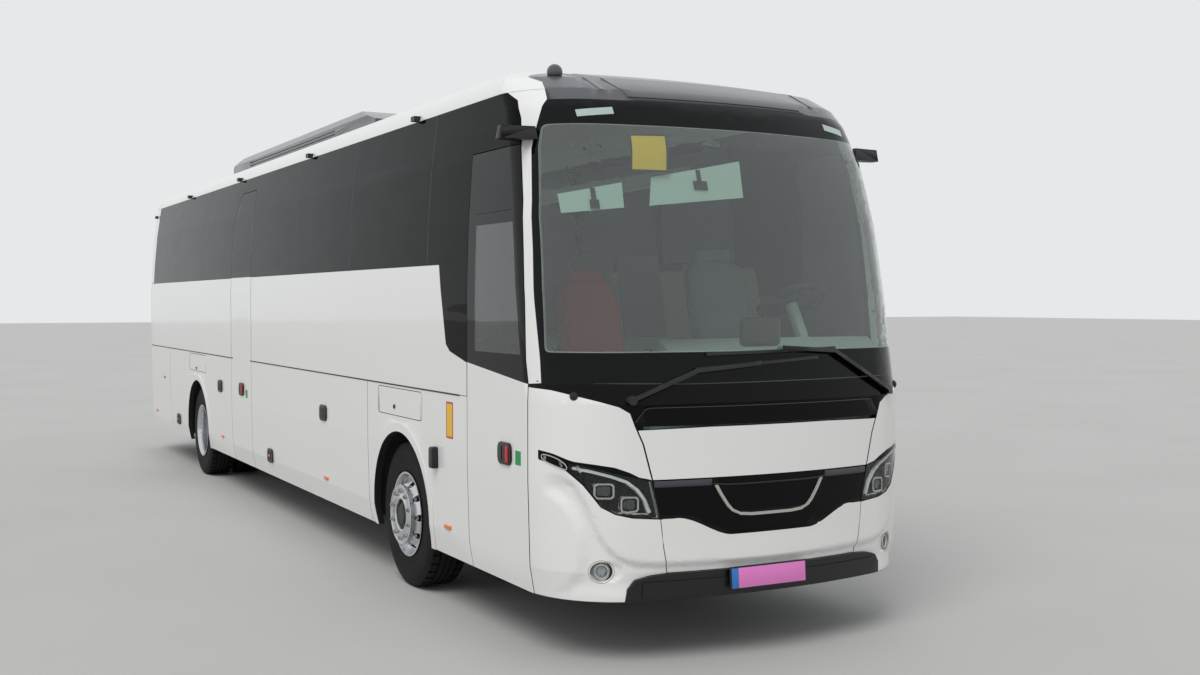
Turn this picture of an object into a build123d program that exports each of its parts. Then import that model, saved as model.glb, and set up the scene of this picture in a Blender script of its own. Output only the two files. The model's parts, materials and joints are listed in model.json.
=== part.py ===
from build123d import *
import os
from math import atan2, cos, radians, sin, sqrt

# A two-axle touring coach with an integral body, seen from its kerb side.
# Millimetres. +X forward, +Y to the coach's left, +Z up.
# The origin is on the road, below the middle of the coach.

os.makedirs("parts", exist_ok=True)

# Overall layout
half_length = 6455
front_axle_x = 3750
wheelbase = 6940
rear_axle_x = front_axle_x - wheelbase

# Heights
skirt_z = 360
hatch_z = 1425
belt_z = 2260
glass_top_z = 3260
roof_z = 3520
floor_z = 1360
floor_thick = 60

# Walls
wall = 45
glass_thick = 8
door_wall = 36
seam = 0.5
door_gap = 6

# Nose and tail in plan
nose_radius = 3600
tail_radius = 220
plan_ease = 1

# Body levels: height, half width, nose x, front corner radius, tail x
body_levels = [
    (skirt_z, 1235, 6438, 550, -6415),
    (520, 1262, 6455, 550, -half_length),
    (1000, 1275, 6455, 550, -half_length),
    (1450, 1275, 6455, 550, -half_length),
    (1560, 1275, 6420, 545, -6453),
    (2100, 1275, 6324, 530, -6440),
    (2500, 1262, 6241, 520, -6415),
    (2900, 1235, 6116, 510, -6380),
    (3150, 1203.75, 5975, 500, -6345),
    (glass_top_z, 1190, 5868, 500, -6325),
    (3360, 1190, 5660, 500, -6295),
    (3440, 1190, 5300, 500, -6245),
    (3560, 1190, 4400, 500, -6115),
]
lowest_level, highest_side_level = 0, 9

# Roof edge: the cove is an arc, the crown a shallow one
cove_radius = 200
cove_y = 991.5
cove_z = 3235.6
crown_slope = 10


def plan_outline(z, half, nose, corner, tail, inset):
    """Outline of the body seen from above: bowed nose, round corners."""
    w = half + plan_ease - inset
    n = nose - inset
    rc = corner - inset
    rn = nose_radius - inset
    rt = tail_radius - inset
    t = tail + inset
    cy = w - rc
    cx = n - rn + sqrt((rn - rc) ** 2 - cy**2)
    turn = atan2(cy, cx - (n - rn))
    mid = (radians(90) + turn) / 2
    half_turn = radians(45)
    nose_pt = (cx + rc * cos(turn), cy + rc * sin(turn))
    corner_pt = (cx + rc * cos(mid), cy + rc * sin(mid))
    tail_mid = (t + rt - rt * cos(half_turn), w - rt + rt * sin(half_turn))
    with BuildSketch(Plane.XY.offset(z)) as outline:
        with BuildLine():
            Line((t + rt, w), (cx, w))
            ThreePointArc((cx, w), corner_pt, nose_pt)
            ThreePointArc(nose_pt, (n, 0), (nose_pt[0], -nose_pt[1]))
            ThreePointArc((nose_pt[0], -nose_pt[1]), (corner_pt[0], -corner_pt[1]), (cx, -w))
            Line((cx, -w), (t + rt, -w))
            ThreePointArc((t + rt, -w), (tail_mid[0], -tail_mid[1]), (t, -w + rt))
            Line((t, -w + rt), (t, w - rt))
            ThreePointArc((t, w - rt), tail_mid, (t + rt, w))
        make_face()
    return outline.sketch


def body_hull(inset, open_below=0):
    """The body's outer form, or that form moved inwards by an inset."""
    with BuildPart() as plan:
        for index, (z, half, nose, corner, tail) in enumerate(body_levels):
            drop = open_below if index == lowest_level else 0
            add(plan_outline(z - drop, half, nose, corner, tail, inset))
        loft(ruled=True)
    side = [(half - inset, z) for z, half, *rest in body_levels[: highest_side_level + 1]]
    side[0] = (side[0][0], skirt_z - open_below)
    r = cove_radius - inset
    top = radians(crown_slope)
    start = atan2(glass_top_z - cove_z, side[-1][0] - cove_y)
    mid = (start + radians(90) - top) / 2
    cove_mid = (cove_y + r * cos(mid), cove_z + r * sin(mid))
    cove_end = (cove_y + r * sin(top), cove_z + r * cos(top))
    with BuildPart() as section:
        with BuildSketch(Plane.YZ.offset(-half_length - wall)):
            with BuildLine():
                Polyline(*side)
                ThreePointArc(side[-1], cove_mid, cove_end)
                ThreePointArc(cove_end, (0, roof_z - inset), (-cove_end[0], cove_end[1]))
                ThreePointArc(
                    (-cove_end[0], cove_end[1]),
                    (-cove_mid[0], cove_mid[1]),
                    (-side[-1][0], side[-1][1]),
                )
                Polyline(*[(-y, z) for y, z in reversed(side)])
                Line((-side[0][0], side[0][1]), side[0])
            make_face()
        extrude(amount=2 * (half_length + wall))
    with BuildPart() as hull:
        add(plan)
        add(section, mode=Mode.INTERSECT)
    return hull.part


def side_prism(outline, side, near=0, far=1500):
    """A prism across the coach from an outline in x and z."""
    with BuildPart() as prism:
        with BuildSketch(Plane.XZ.offset(-side * near)):
            Polygon(*outline, align=None)
        extrude(amount=-side * (far - near))
    return prism.part


def front_prism(outline, back=4600, front=6700):
    """A prism along the coach from an outline in y and z."""
    with BuildPart() as prism:
        with BuildSketch(Plane.YZ.offset(back)):
            Polygon(*outline, align=None)
        extrude(amount=front - back)
    return prism.part


def cut_from(stock, *prisms, without=()):
    """The part of a stock that lies in every prism, less the cutters."""
    with BuildPart() as piece:
        add(stock)
        for prism in prisms:
            add(prism, mode=Mode.INTERSECT)
        for cutter in without:
            add(cutter, mode=Mode.SUBTRACT)
    return piece.part


def write_piece(piece, name):
    """Label a finished piece and write it as its own file."""
    piece.part.label = name
    export_step(piece.part, f"parts/{name}.step")


def slab(x0, x1, y0, y1, z0, z1):
    """A rectangular block between two corners, added to the open piece."""
    with Locations(((x0 + x1) / 2, (y0 + y1) / 2, (z0 + z1) / 2)):
        Box(x1 - x0, y1 - y0, z1 - z0)


outer = body_hull(0)
glass_core = body_hull(glass_thick, open_below=100)
cavity = body_hull(wall, open_below=100)
door_cavity = body_hull(door_wall, open_below=100)
shell = outer - cavity
skin = outer - glass_core
frame_layer = glass_core - cavity
door_shell = outer - door_cavity
door_core = glass_core - door_cavity

# Layer for lips that stand out of the panels, and layers at the depths of the lamp fittings
lip_stand = 10
bezel_depth = 12
lens_depth = 20
bowl_depth = 33
lip_layer = body_hull(-lip_stand) - cavity
bezel_layer = body_hull(bezel_depth) - cavity
lens_layer = body_hull(lens_depth) - cavity
bowl_layer = body_hull(bowl_depth) - cavity

# Panel edges along the side, x at each height
low_z = skirt_z - 60
high_z = roof_z + 60
tail_x = -half_length - 60
nose_x = half_length + 210
corner_x = -6200
quarter_low_x = -6050
quarter_top_x = -5900
mid_door_rear_x = -1460
mid_door_front_x = -590
bay_door_rear_x = mid_door_front_x
bay_door_front_x = 3045
front_door_rear_x = 4990
front_door_front_x = 5880
front_door_top_z = 2930
mid_door_top_z = 3125
mid_door_shoulder_x = -1150
mid_door_shoulder_z = 2800

# Front edge of the door opening: height and x, along the screen pillar
sill_front_z = 1552
sill_rear_z = 1640
door_head_x = 5662
pillar_back = [
    (sill_front_z, front_door_front_x),
    (1687, 5850),
    (2026, 5825),
    (2311, 5787),
    (2598, 5745),
    (front_door_top_z, door_head_x),
]
screen_low_z = 1560
screen_top_z = 3190
screen_head_x = 5700
pillar_front = [
    (screen_low_z, 5985),
    (1690, 5968),
    (2026, 5902),
    (2309, 5862),
    (2598, 5812),
    (2886, 5748),
]

# Where the side glass runs up to the roof cap
brow = [(5600, 3085), (5520, 3200), (5400, glass_top_z)]

# Black edge in front of the white waist panel
blade = [(4510, belt_z), (4640, 1745), (4705, 1702), (front_door_rear_x, sill_rear_z)]

# Seam between the white roof and its dark front cap
cap_seam = [(5640, glass_top_z), (5549, 3316), (5361, 3383), (5250, 3440), (5250, high_z)]

# Wheels: tyre size and rim
tyre_radius = 512
rim_radius = 286
axle_z = tyre_radius
kingpin_y = 1000
arch_radius = 570
arch_z = axle_z + 18
liner_radius = 602

# Side window bands
band_front = blade + [(front_door_rear_x, front_door_top_z), (door_head_x, front_door_top_z)] + brow
band_right_front = (
    [(mid_door_front_x, belt_z)]
    + band_front
    + [
        (mid_door_rear_x, glass_top_z),
        (mid_door_rear_x, mid_door_shoulder_z),
        (mid_door_shoulder_x, mid_door_top_z),
        (mid_door_front_x, mid_door_top_z),
    ]
)
band_rear = [
    (quarter_low_x, belt_z),
    (mid_door_rear_x, belt_z),
    (mid_door_rear_x, glass_top_z),
    (quarter_top_x, glass_top_z),
]
band_left = (
    [(quarter_low_x, belt_z)]
    + blade
    + [(x, z) for z, x in pillar_back]
    + brow
    + [(quarter_top_x, glass_top_z)]
)

# Window openings in the frame behind the glass: first and last x
rail = 70
bar = 45
windows_right = [(-5840, -4440), (-4395, -2970), (-2925, mid_door_rear_x - bar)]
windows_right_front = [(mid_door_front_x + bar, 980), (1025, 2560), (2605, 4250)]
windows_left = [
    (-5840, -4440),
    (-4395, -2925),
    (-2880, -1410),
    (-1365, 105),
    (150, 1620),
    (1665, 3090),
    (3135, 4250),
]
window_low_z = belt_z + rail
window_high_z = glass_top_z - rail

RIGHT, LEFT = -1, 1
panel_near = 900
half_reach = 1500


def rectangle(x0, x1, z0, z1):
    """Corners of an upright rectangle."""
    return [(x0, z0), (x1, z0), (x1, z1), (x0, z1)]


def side_piece(stock, outline, side, without=()):
    """One panel of the side: the stock within an outline in x and z."""
    return cut_from(stock, side_prism(outline, side, near=panel_near), without=without)


def across(outline):
    """A prism right across the coach from an outline in x and z."""
    return side_prism(outline, LEFT, near=-half_reach)


def window_cutters(columns, side):
    """Window openings through the frame of one side."""
    openings = []
    for x0, x1 in columns:
        openings.append(side_prism(rectangle(x0, x1, window_low_z, window_high_z), side, near=panel_near))
    return openings


# Side windows: one flush skin of dark glass a band, split at the pane joints
pane_joint = 6
joint_low_z = 1500
joints_right = [-4417, -2947]
joints_right_front = [1002, 2582, 4290]
joints_left = [-4417, -2902, -1387, 127, 1642, 3112, 4290, 4960]


def pane_gaps(joints, side):
    """Narrow slots between the panes."""
    gaps = []
    for x in joints:
        slot = rectangle(x - pane_joint / 2, x + pane_joint / 2, joint_low_z, high_z)
        gaps.append(side_prism(slot, side, near=panel_near))
    return gaps


with BuildPart() as side_glass_right:
    add(side_piece(skin, band_rear, RIGHT, without=pane_gaps(joints_right, RIGHT)))
    add(side_piece(skin, band_right_front, RIGHT, without=pane_gaps(joints_right_front, RIGHT)))
write_piece(side_glass_right, "side_glass_right")

with BuildPart() as side_glass_left:
    add(side_piece(skin, band_left, LEFT, without=pane_gaps(joints_left, LEFT)))
write_piece(side_glass_left, "side_glass_left")

# Window frames: the rails and pillars that the glass is bonded to
cab_window = [(5050, 1720), (5775, 1720), (5720, 2350), (5640, 2780), (5560, 3000), (5050, 3000)]
with BuildPart() as window_frame_right:
    add(side_piece(frame_layer, band_rear, RIGHT, without=window_cutters(windows_right, RIGHT)))
    add(side_piece(frame_layer, band_right_front, RIGHT, without=window_cutters(windows_right_front, RIGHT)))
write_piece(window_frame_right, "window_frame_right")

with BuildPart() as window_frame_left:
    left_openings = window_cutters(windows_left, LEFT) + [side_prism(cab_window, LEFT, near=panel_near)]
    add(side_piece(frame_layer, band_left, LEFT, without=left_openings))
write_piece(window_frame_left, "window_frame_left")

# White waist panels between the luggage hatches and the glass
waist_rear = rectangle(corner_x, mid_door_rear_x, hatch_z, belt_z)
waist_front_right = (
    [(mid_door_front_x, hatch_z), (front_door_rear_x, hatch_z)]
    + list(reversed(blade))
    + [(mid_door_front_x, belt_z)]
)
waist_left = (
    [(corner_x, hatch_z), (front_door_front_x, hatch_z), (front_door_front_x, sill_front_z)]
    + list(reversed(blade))
    + [(corner_x, belt_z)]
)
with BuildPart() as side_wall_right:
    add(side_piece(shell, waist_rear, RIGHT))
    add(side_piece(shell, waist_front_right, RIGHT))
write_piece(side_wall_right, "side_wall_right")
with BuildPart() as side_wall_left:
    add(side_piece(shell, waist_left, LEFT))
write_piece(side_wall_left, "side_wall_left")


# Fixed lower panels with the wheel arches
def arch_cutter(axle_x, radius, near, far, side):
    """A round opening across one side, centred just above the axle."""
    with BuildPart() as cutter:
        with BuildSketch(Plane.XZ.offset(-side * near)):
            with Locations((axle_x, arch_z)):
                Circle(radius)
        extrude(amount=-side * (far - near))
    return cutter.part


# Lip round each arch, grooves where panels and service flaps meet, and pockets with a bar to pull
arch_lip = 62
groove = 5
pocket_width, pocket_height, pocket_corner = 98, 62, 18
pull_width = 22
flap_corner = 40


def upright_groove(x, z0, z1, side):
    """A narrow groove in the face of one side, from one height to another."""
    return side_piece(skin, rectangle(x - groove / 2, x + groove / 2, z0, z1), side)


def flap_groove(x0, x1, z0, z1, side):
    """The round-cornered outline of a service flap, as a groove."""
    with BuildPart() as ring:
        with BuildSketch(Plane.XZ.offset(-side * panel_near)):
            with Locations(((x0 + x1) / 2, (z0 + z1) / 2)):
                RectangleRounded(x1 - x0, z1 - z0, flap_corner)
                RectangleRounded(
                    x1 - x0 - 2 * groove, z1 - z0 - 2 * groove, flap_corner - groove, mode=Mode.SUBTRACT
                )
        extrude(amount=-side * (half_reach - panel_near))
        add(skin, mode=Mode.INTERSECT)
    return ring.part


def pull_pocket(x, z, side):
    """A shallow pocket for the fingers, with an upright bar left standing in it."""
    with BuildPart() as pocket:
        with BuildSketch(Plane.XZ.offset(-side * panel_near)):
            with Locations((x, z)):
                RectangleRounded(pocket_width, pocket_height, pocket_corner)
                Rectangle(pull_width, pocket_height, mode=Mode.SUBTRACT)
        extrude(amount=-side * (half_reach - panel_near))
        add(skin, mode=Mode.INTERSECT)
    return pocket.part


# Service flaps over the front and rear arches, panel joint and pulls: places along the lower side
front_flap_span = (3285, 4200, 1205, 1405)
rear_flap_span = (-3660, -2720, 1205, 1405)
rear_joint_x = -4880
low_pull_z = 556
service_pulls = [(-1980, 1100), (-4380, low_pull_z)]

# Side, name, where the rear panel ends, where the front panel ends
for side, name, rear_end_x, front_end_x in [
    (RIGHT, "lower_side_right", mid_door_rear_x, front_door_rear_x),
    (LEFT, "lower_side_left", bay_door_rear_x, front_door_front_x),
]:
    with BuildPart() as lower_side:
        for axle_x, x0, x1 in (
            (rear_axle_x, corner_x, rear_end_x),
            (front_axle_x, bay_door_front_x, front_end_x),
        ):
            arch = arch_cutter(axle_x, arch_radius, panel_near, half_reach, side)
            lip_reach = arch_cutter(axle_x, arch_radius + arch_lip, panel_near, half_reach, side)
            add(side_piece(shell, rectangle(x0, x1, low_z, hatch_z), side, without=[arch]))
            add(cut_from(lip_layer, lip_reach, without=[arch]))
        for span in (front_flap_span, rear_flap_span):
            add(flap_groove(*span, side), mode=Mode.SUBTRACT)
        add(upright_groove(rear_joint_x, low_z, hatch_z, side), mode=Mode.SUBTRACT)
        for x, z in service_pulls:
            add(pull_pocket(x, z, side), mode=Mode.SUBTRACT)
    write_piece(lower_side, name)

# Roof: white from the rear moulding to the cap, with the coves that meet the side glass
roof_rear_x = -6230
roof_outline = [(roof_rear_x, glass_top_z)] + cap_seam + [(roof_rear_x, high_z)]
with BuildPart() as roof_panel:
    add(cut_from(shell, across(roof_outline)))
write_piece(roof_panel, "roof_panel")

# Dark front cap of the roof, down to the head of the windscreen
cap_outline = cap_seam + [(nose_x, high_z), (nose_x, screen_top_z), (screen_head_x, screen_top_z)]
# Its middle stands out a little, with a ridge along each side (x and y of one half, seen from above)
cap_rise_z = 3215
cap_middle = [(5290, 0), (6100, 0), (6100, 560), (5780, 640), (5290, 690)]
cap_ridge = [(5290, 745), (5800, 745), (5800, 769), (5290, 769)]
with BuildPart() as roof_cap:
    add(cut_from(shell, across(cap_outline)))
    with BuildPart(mode=Mode.PRIVATE) as cap_relief:
        with BuildSketch(Plane.XY.offset(cap_rise_z)):
            for outline in (cap_middle, cap_ridge):
                Polygon(*outline, align=None)
                Polygon(*[(x, -y) for x, y in outline], align=None)
        extrude(amount=high_z - cap_rise_z)
        add(lip_layer, mode=Mode.INTERSECT)
        add(across(cap_outline), mode=Mode.INTERSECT)
    add(cap_relief)
write_piece(roof_cap, "roof_cap")

# Screen pillars: slim white strips between door and windscreen
pillar_outline = [(x, z) for z, x in pillar_back] + brow + [cap_seam[0], (screen_head_x, screen_top_z)]
pillar_outline += [(x, z) for z, x in reversed(pillar_front)]
with BuildPart() as front_pillars:
    for side in (RIGHT, LEFT):
        add(side_piece(shell, pillar_outline, side))
write_piece(front_pillars, "front_pillars")

# Windscreen: one curved pane from the wiper panel to the roof cap
screen_outline = [(x, z) for z, x in pillar_front] + [(screen_head_x, screen_top_z)]
screen_outline += [(nose_x, screen_top_z), (nose_x, screen_low_z)]
with BuildPart() as windshield:
    add(cut_from(skin, across(screen_outline)))
write_piece(windshield, "windshield")

# Front panels, cut along the seams seen from the front (y, z)
grille_top_z = 1033
flap_top_z = 1330
seam_line = [
    (648, low_z),
    (657, 508),
    (682, 644),
    (702, 815),
    (751, grille_top_z),
    (802, 1230),
    (845, flap_top_z),
]
corner_far_y = 1400
corner_top = [
    (845, flap_top_z),
    (873, 1405),
    (930, 1440),
    (1025, 1470),
    (1126, 1500),
    (1213, 1528),
    (corner_far_y, 1556),
]
grille_dip = [(702, 815), (530, 797), (439, 760), (345, 712)]
lip_top = [(900, low_z), (880, 430), (840, 480), (760, 500), (648, 510)]

# Headlamp outline on the corner panel (y, z), from the grille outwards
lamp_outline = [
    (702, 815),
    (751, grille_top_z),
    (900, 1065),
    (1120, 1125),
    (1215, 1140),
    (1100, 1010),
    (1020, 890),
    (950, 850),
    (860, 828),
]
fog_y, fog_z, fog_radius = 1015, 528, 62
front_depth_x = 5900


def mirrored(outline):
    """The outline of both halves, from points on the +y half, bottom to top."""
    return outline + [(-y, z) for y, z in reversed(outline)]


def on_side(outline, side):
    """The outline moved to one side of the coach."""
    return [(side * y, z) for y, z in outline]


def fog_opening(side, radius=fog_radius):
    """A round bore for one fog lamp."""
    with BuildPart() as bore:
        with BuildSketch(Plane.YZ.offset(front_depth_x)):
            with Locations((side * fog_y, fog_z)):
                Circle(radius)
        extrude(amount=nose_x - front_depth_x)
    return bore.part


def flat_bar(points, half_width):
    """A flat bar along a route seen from the front, in y and z."""
    with BuildPart() as run:
        with BuildSketch(Plane.YZ.offset(front_depth_x)):
            with BuildLine():
                Polyline(*points)
            trace(line_width=2 * half_width)
        extrude(amount=nose_x - front_depth_x)
    return run.part


def soft_block(y, z, width, height, corner):
    """A block along the coach with rounded corners, seen from the front in y and z."""
    with BuildPart() as block:
        with BuildSketch(Plane.YZ.offset(front_depth_x)):
            with Locations((y, z)):
                RectangleRounded(width, height, corner)
        extrude(amount=nose_x - front_depth_x)
    return block.part


corner_outline = seam_line[:-1] + corner_top + [(corner_far_y, low_z)]
corner_span = rectangle(front_door_front_x, nose_x, low_z, high_z)
lip_region = lip_top + [(600, 510), (600, low_z)]
with BuildPart() as front_corners:
    for side in (RIGHT, LEFT):
        lamp_opening = front_prism(on_side(lamp_outline, side), back=front_depth_x)
        lip_opening = front_prism(on_side(lip_region, side))
        add(
            cut_from(
                shell,
                side_prism(corner_span, side),
                front_prism(on_side(corner_outline, side)),
                without=[lamp_opening, fog_opening(side), lip_opening],
            )
        )
write_piece(front_corners, "front_corners")

# Headlamps: a bowl with a raised rim, two projectors in bezels, a light guide over them,
# a bar under them, and a framed and ribbed indicator in the tail (places in y and z)
lamp_rim = 5
guide_half_width, guide_line = 8, [
    (1138, 1100),
    (1057, 1083),
    (967, 1057),
    (886, 1026),
    (826, 979),
    (785, 924),
    (757, 852),
]
lower_bar_half_width, lower_bar = 5, [(1103, 1030), (1062, 950), (1001, 875), (942, 858), (850, 850), (765, 845)]
indicator_half_width, indicator_frame = 6, [
    (1190, 1131),
    (1120, 1116),
    (1098, 1068),
    (1110, 1040),
    (1190, 1131),
]
bezel_size, bezel_bore, projector_lens = (100, 88, 22), (80, 68, 16), (64, 52, 14)
projectors = [(999, 976), (869, 901)]
with BuildPart() as lamp_fittings:
    add(flat_bar(guide_line, guide_half_width))
    add(flat_bar(lower_bar, lower_bar_half_width))
    add(flat_bar(indicator_frame, indicator_half_width))
    for y, z in projectors:
        add(soft_block(y, z, *bezel_size))
    for y, z in projectors:
        add(soft_block(y, z, *bezel_bore), mode=Mode.SUBTRACT)
with BuildPart() as lamp_lenses:
    for y, z in projectors:
        add(soft_block(y, z, *projector_lens))
with BuildPart() as headlamps:
    opening = front_prism(lamp_outline, back=front_depth_x)
    add(cut_from(opening, bowl_layer))
    add(cut_from(opening, flat_bar(lamp_outline + lamp_outline[:1], lamp_rim), shell))
    add(cut_from(opening, lamp_fittings.part, bezel_layer))
    add(cut_from(lamp_lenses.part, lens_layer))
    mirror(about=Plane.XZ)
write_piece(headlamps, "headlamps")

# Fog lamps: a round bowl with a rim and a plain lens
fog_rim, fog_lens_radius = 6, 40
with BuildPart() as fog_lamps:
    add(cut_from(bowl_layer, fog_opening(LEFT)))
    add(cut_from(shell, fog_opening(LEFT), without=[fog_opening(LEFT, fog_radius - fog_rim)]))
    add(cut_from(lens_layer, fog_opening(LEFT, fog_lens_radius)))
    mirror(about=Plane.XZ)
write_piece(fog_lamps, "fog_lamps")

# Centre of the front, from the lip upwards
with BuildPart() as bumper_lip:
    add(cut_from(shell, front_prism(mirrored(lip_top))))
write_piece(bumper_lip, "bumper_lip")

with BuildPart() as bumper_center:
    add(cut_from(shell, front_prism(mirrored([(657, 510)] + seam_line[2:3] + grille_dip))))
write_piece(bumper_center, "bumper_center")

# Grille panel, set back, with a rim along its foot, strips along its top and a bright trim round its middle
grille_rim_half_width = 9
grille_strip = rectangle(395, 735, 990, 1026)
trim_half_width, grille_trim = 8, [(367, 990), (332, 930), (292, 872), (263, 842), (214, 820), (138, 813)]
with BuildPart() as grille_panel:
    opening = front_prism(mirrored(list(reversed(grille_dip)) + [(751, grille_top_z)]))
    add(cut_from(frame_layer, opening))
    for side in (RIGHT, LEFT):
        add(cut_from(shell, opening, front_prism(on_side(grille_strip, side))))
    add(cut_from(shell, opening, flat_bar(mirrored(grille_dip), grille_rim_half_width)))
    add(cut_from(shell, opening, flat_bar(mirrored(grille_trim), trim_half_width)))
write_piece(grille_panel, "grille_panel")

# The flap drops about its bottom edge; the gap over it widens with the bow of the nose
flap_top_gap = 11
flap_end_gap = 20
flap_level_y = 400
(low_y, low_end_z), (high_y, high_end_z) = seam_line[5:7]
flap_corner_y = high_y - flap_end_gap * (high_y - low_y) / (high_end_z - low_end_z)
flap_outline = [
    (seam_line[4][0] - door_gap, grille_top_z + seam),
    (low_y - door_gap, low_end_z),
    (flap_corner_y - door_gap, flap_top_z - flap_end_gap),
    (flap_level_y, flap_top_z - flap_top_gap),
]
with BuildPart() as front_flap:
    add(cut_from(door_shell, front_prism(mirrored(flap_outline))))
write_piece(front_flap, "front_flap")

wiper_outline = mirrored(corner_top + [(corner_far_y, screen_low_z)])
panel_step = [(845, 1360), (785, 1438), (400, 1445)]
with BuildPart() as wiper_panel:
    add(
        cut_from(
            shell,
            front_prism(wiper_outline, back=front_door_front_x),
            without=[side_prism(pillar_outline, RIGHT), side_prism(pillar_outline, LEFT)],
        )
    )
    step_groove = flat_bar(mirrored(panel_step), groove / 2)
    add(cut_from(skin, step_groove), mode=Mode.SUBTRACT)
write_piece(wiper_panel, "wiper_panel")

# Doors: a plug door is a panel with flush glass, carried on a cranked arm
edge = door_gap
front_low_x = (front_door_rear_x + edge, front_door_front_x - edge)
front_low = rectangle(*front_low_x, low_z, sill_front_z)[:3] + [(front_low_x[0], sill_rear_z)]
front_high = [(front_low_x[0], sill_rear_z), (front_low_x[1], sill_front_z)]
front_high += [(x - edge, z) for z, x in pillar_back[1:-1]]
front_high += [(door_head_x - edge, front_door_top_z - edge), (front_low_x[0], front_door_top_z - edge)]
front_window = [
    (5080, 1700),
    (5770, 1665),
    (5740, 2026),
    (5702, 2311),
    (5660, 2598),
    (5600, 2840),
    (5080, 2840),
]
mid_x = (mid_door_rear_x + edge, mid_door_front_x - edge)
mid_low = rectangle(*mid_x, low_z, belt_z)
mid_high = [
    (mid_x[0], belt_z),
    (mid_x[1], belt_z),
    (mid_x[1], mid_door_top_z - edge),
    (mid_door_shoulder_x + edge, mid_door_top_z - edge),
    (mid_x[0], mid_door_shoulder_z),
]
mid_window = [(-1380, 2330), (-660, 2330), (-660, 3040), (-1120, 3040), (-1380, 2790)]

# Door gear: column, cranked arm and bracket, worked from the closed door
arm_length = 440
arm_lean = 5
arm_along = 120
arm_crank = 150
column_inset = 40
column_y = -1178
column_radius = 22
arm_levels = (600, 1380)
arm_thick = 30
arm_width = 30
pin_radius = 8
pin_play = 0.5
step_top_z = 420


def arm_points(column_x, reach):
    """Column, crank and pin of a closed arm; reach is -1 rearward, +1 forward."""
    lean = radians(arm_lean)
    along = (reach * cos(lean), sin(lean))
    inboard = (-reach * sin(lean), cos(lean))
    crank = (
        column_x + arm_along * along[0] + arm_crank * inboard[0],
        column_y + arm_along * along[1] + arm_crank * inboard[1],
    )
    pin = (column_x + arm_length * along[0], column_y + arm_length * along[1])
    return (column_x, column_y), crank, pin


def door_arm(column_x, reach):
    """Upright column with two cranked arms, each with an eye at its end."""
    column, crank, pin = arm_points(column_x, reach)
    with BuildPart() as arm:
        with BuildSketch(Plane.XY.offset(step_top_z + 0.3)):
            with Locations(column):
                Circle(column_radius)
        extrude(amount=arm_levels[-1] + arm_thick - step_top_z)
        for level in arm_levels:
            with BuildSketch(Plane.XY.offset(level)):
                with BuildLine():
                    Polyline(column, crank, pin)
                trace(line_width=arm_width)
                with Locations(pin):
                    Circle(arm_width / 2 + 4)
                    Circle(pin_radius + pin_play, mode=Mode.SUBTRACT)
            extrude(amount=arm_thick)
    return arm.part


def door_brackets(column_x, reach):
    """Brackets inside the door, each over an arm's eye, with a pin through it."""
    column, crank, pin = arm_points(column_x, reach)
    inner_face_y = -(1275 - door_wall)
    with BuildPart() as brackets:
        for level in arm_levels:
            top = level + arm_thick + pin_play
            slab(pin[0] - 22, pin[0] + 22, inner_face_y, pin[1] + 18, top, top + 20)
            with BuildSketch(Plane.XY.offset(level)):
                with Locations(pin):
                    Circle(pin_radius)
            extrude(amount=arm_thick + pin_play + 10)
    return brackets.part


# Name, lower panel, glazed part, window, pull, column and which way the arm lies
for name, lower, upper, window, pull, column_x, reach in [
    ("front_door", front_low, front_high, front_window, (5576, 1132), front_door_front_x - column_inset, -1),
    ("mid_door", mid_low, mid_high, mid_window, (-990, 1122), mid_door_rear_x + column_inset, 1),
]:
    with BuildPart() as door:
        add(side_piece(door_shell, lower, RIGHT, without=[pull_pocket(*pull, RIGHT)]))
        add(side_piece(door_core, upper, RIGHT, without=[side_prism(window, RIGHT, near=panel_near)]))
        add(door_brackets(column_x, reach))
    write_piece(door, name)
    with BuildPart() as door_glass:
        add(side_piece(skin, upper, RIGHT))
    write_piece(door_glass, name + "_glass")
    with BuildPart() as arm:
        add(door_arm(column_x, reach))
    write_piece(arm, name + "_arm")

# Luggage doors, hinged along the hatch line
bay_pulls = [(1896, 1095), (110, low_pull_z)]
for side, name, rear_edge in [
    (RIGHT, "luggage_door_right", bay_door_rear_x),
    (LEFT, "luggage_door_left", bay_door_rear_x + door_gap),
]:
    outline = rectangle(rear_edge, bay_door_front_x - door_gap, low_z, hatch_z - seam)
    with BuildPart() as luggage_door:
        add(side_piece(door_shell, outline, side, without=[pull_pocket(x, z, side) for x, z in bay_pulls]))
    write_piece(luggage_door, name)

# Rear: bumper, engine door, lamps, window, and the moulding that holds them and turns over into the roof
bumper_top_z = 620
engine_half_y = 850
rear_depth_x = -6250
tail_lamp = rectangle(960, 1400, 720, 1330)
rear_window_outline = [(980, 2340), (960, 3130)]
rear_span = [
    (tail_x, bumper_top_z),
    (corner_x, bumper_top_z),
    (corner_x, belt_z),
    (quarter_low_x, belt_z),
    (quarter_top_x, glass_top_z),
    (roof_rear_x, glass_top_z),
    (roof_rear_x, high_z),
    (tail_x, high_z),
]


def rear_prism(outline):
    """A prism into the tail from an outline in y and z."""
    return front_prism(outline, back=tail_x, front=rear_depth_x)


engine_opening = rear_prism(mirrored([(engine_half_y, low_z), (engine_half_y, hatch_z)]))
window_opening = rear_prism(mirrored(rear_window_outline))
lamp_openings = [rear_prism(on_side(tail_lamp, side)) for side in (RIGHT, LEFT)]
with BuildPart() as rear_wall:
    add(cut_from(shell, across(rear_span), without=[engine_opening, window_opening] + lamp_openings))
write_piece(rear_wall, "rear_wall")

with BuildPart() as rear_window:
    add(cut_from(skin, window_opening))
write_piece(rear_window, "rear_window")

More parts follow.
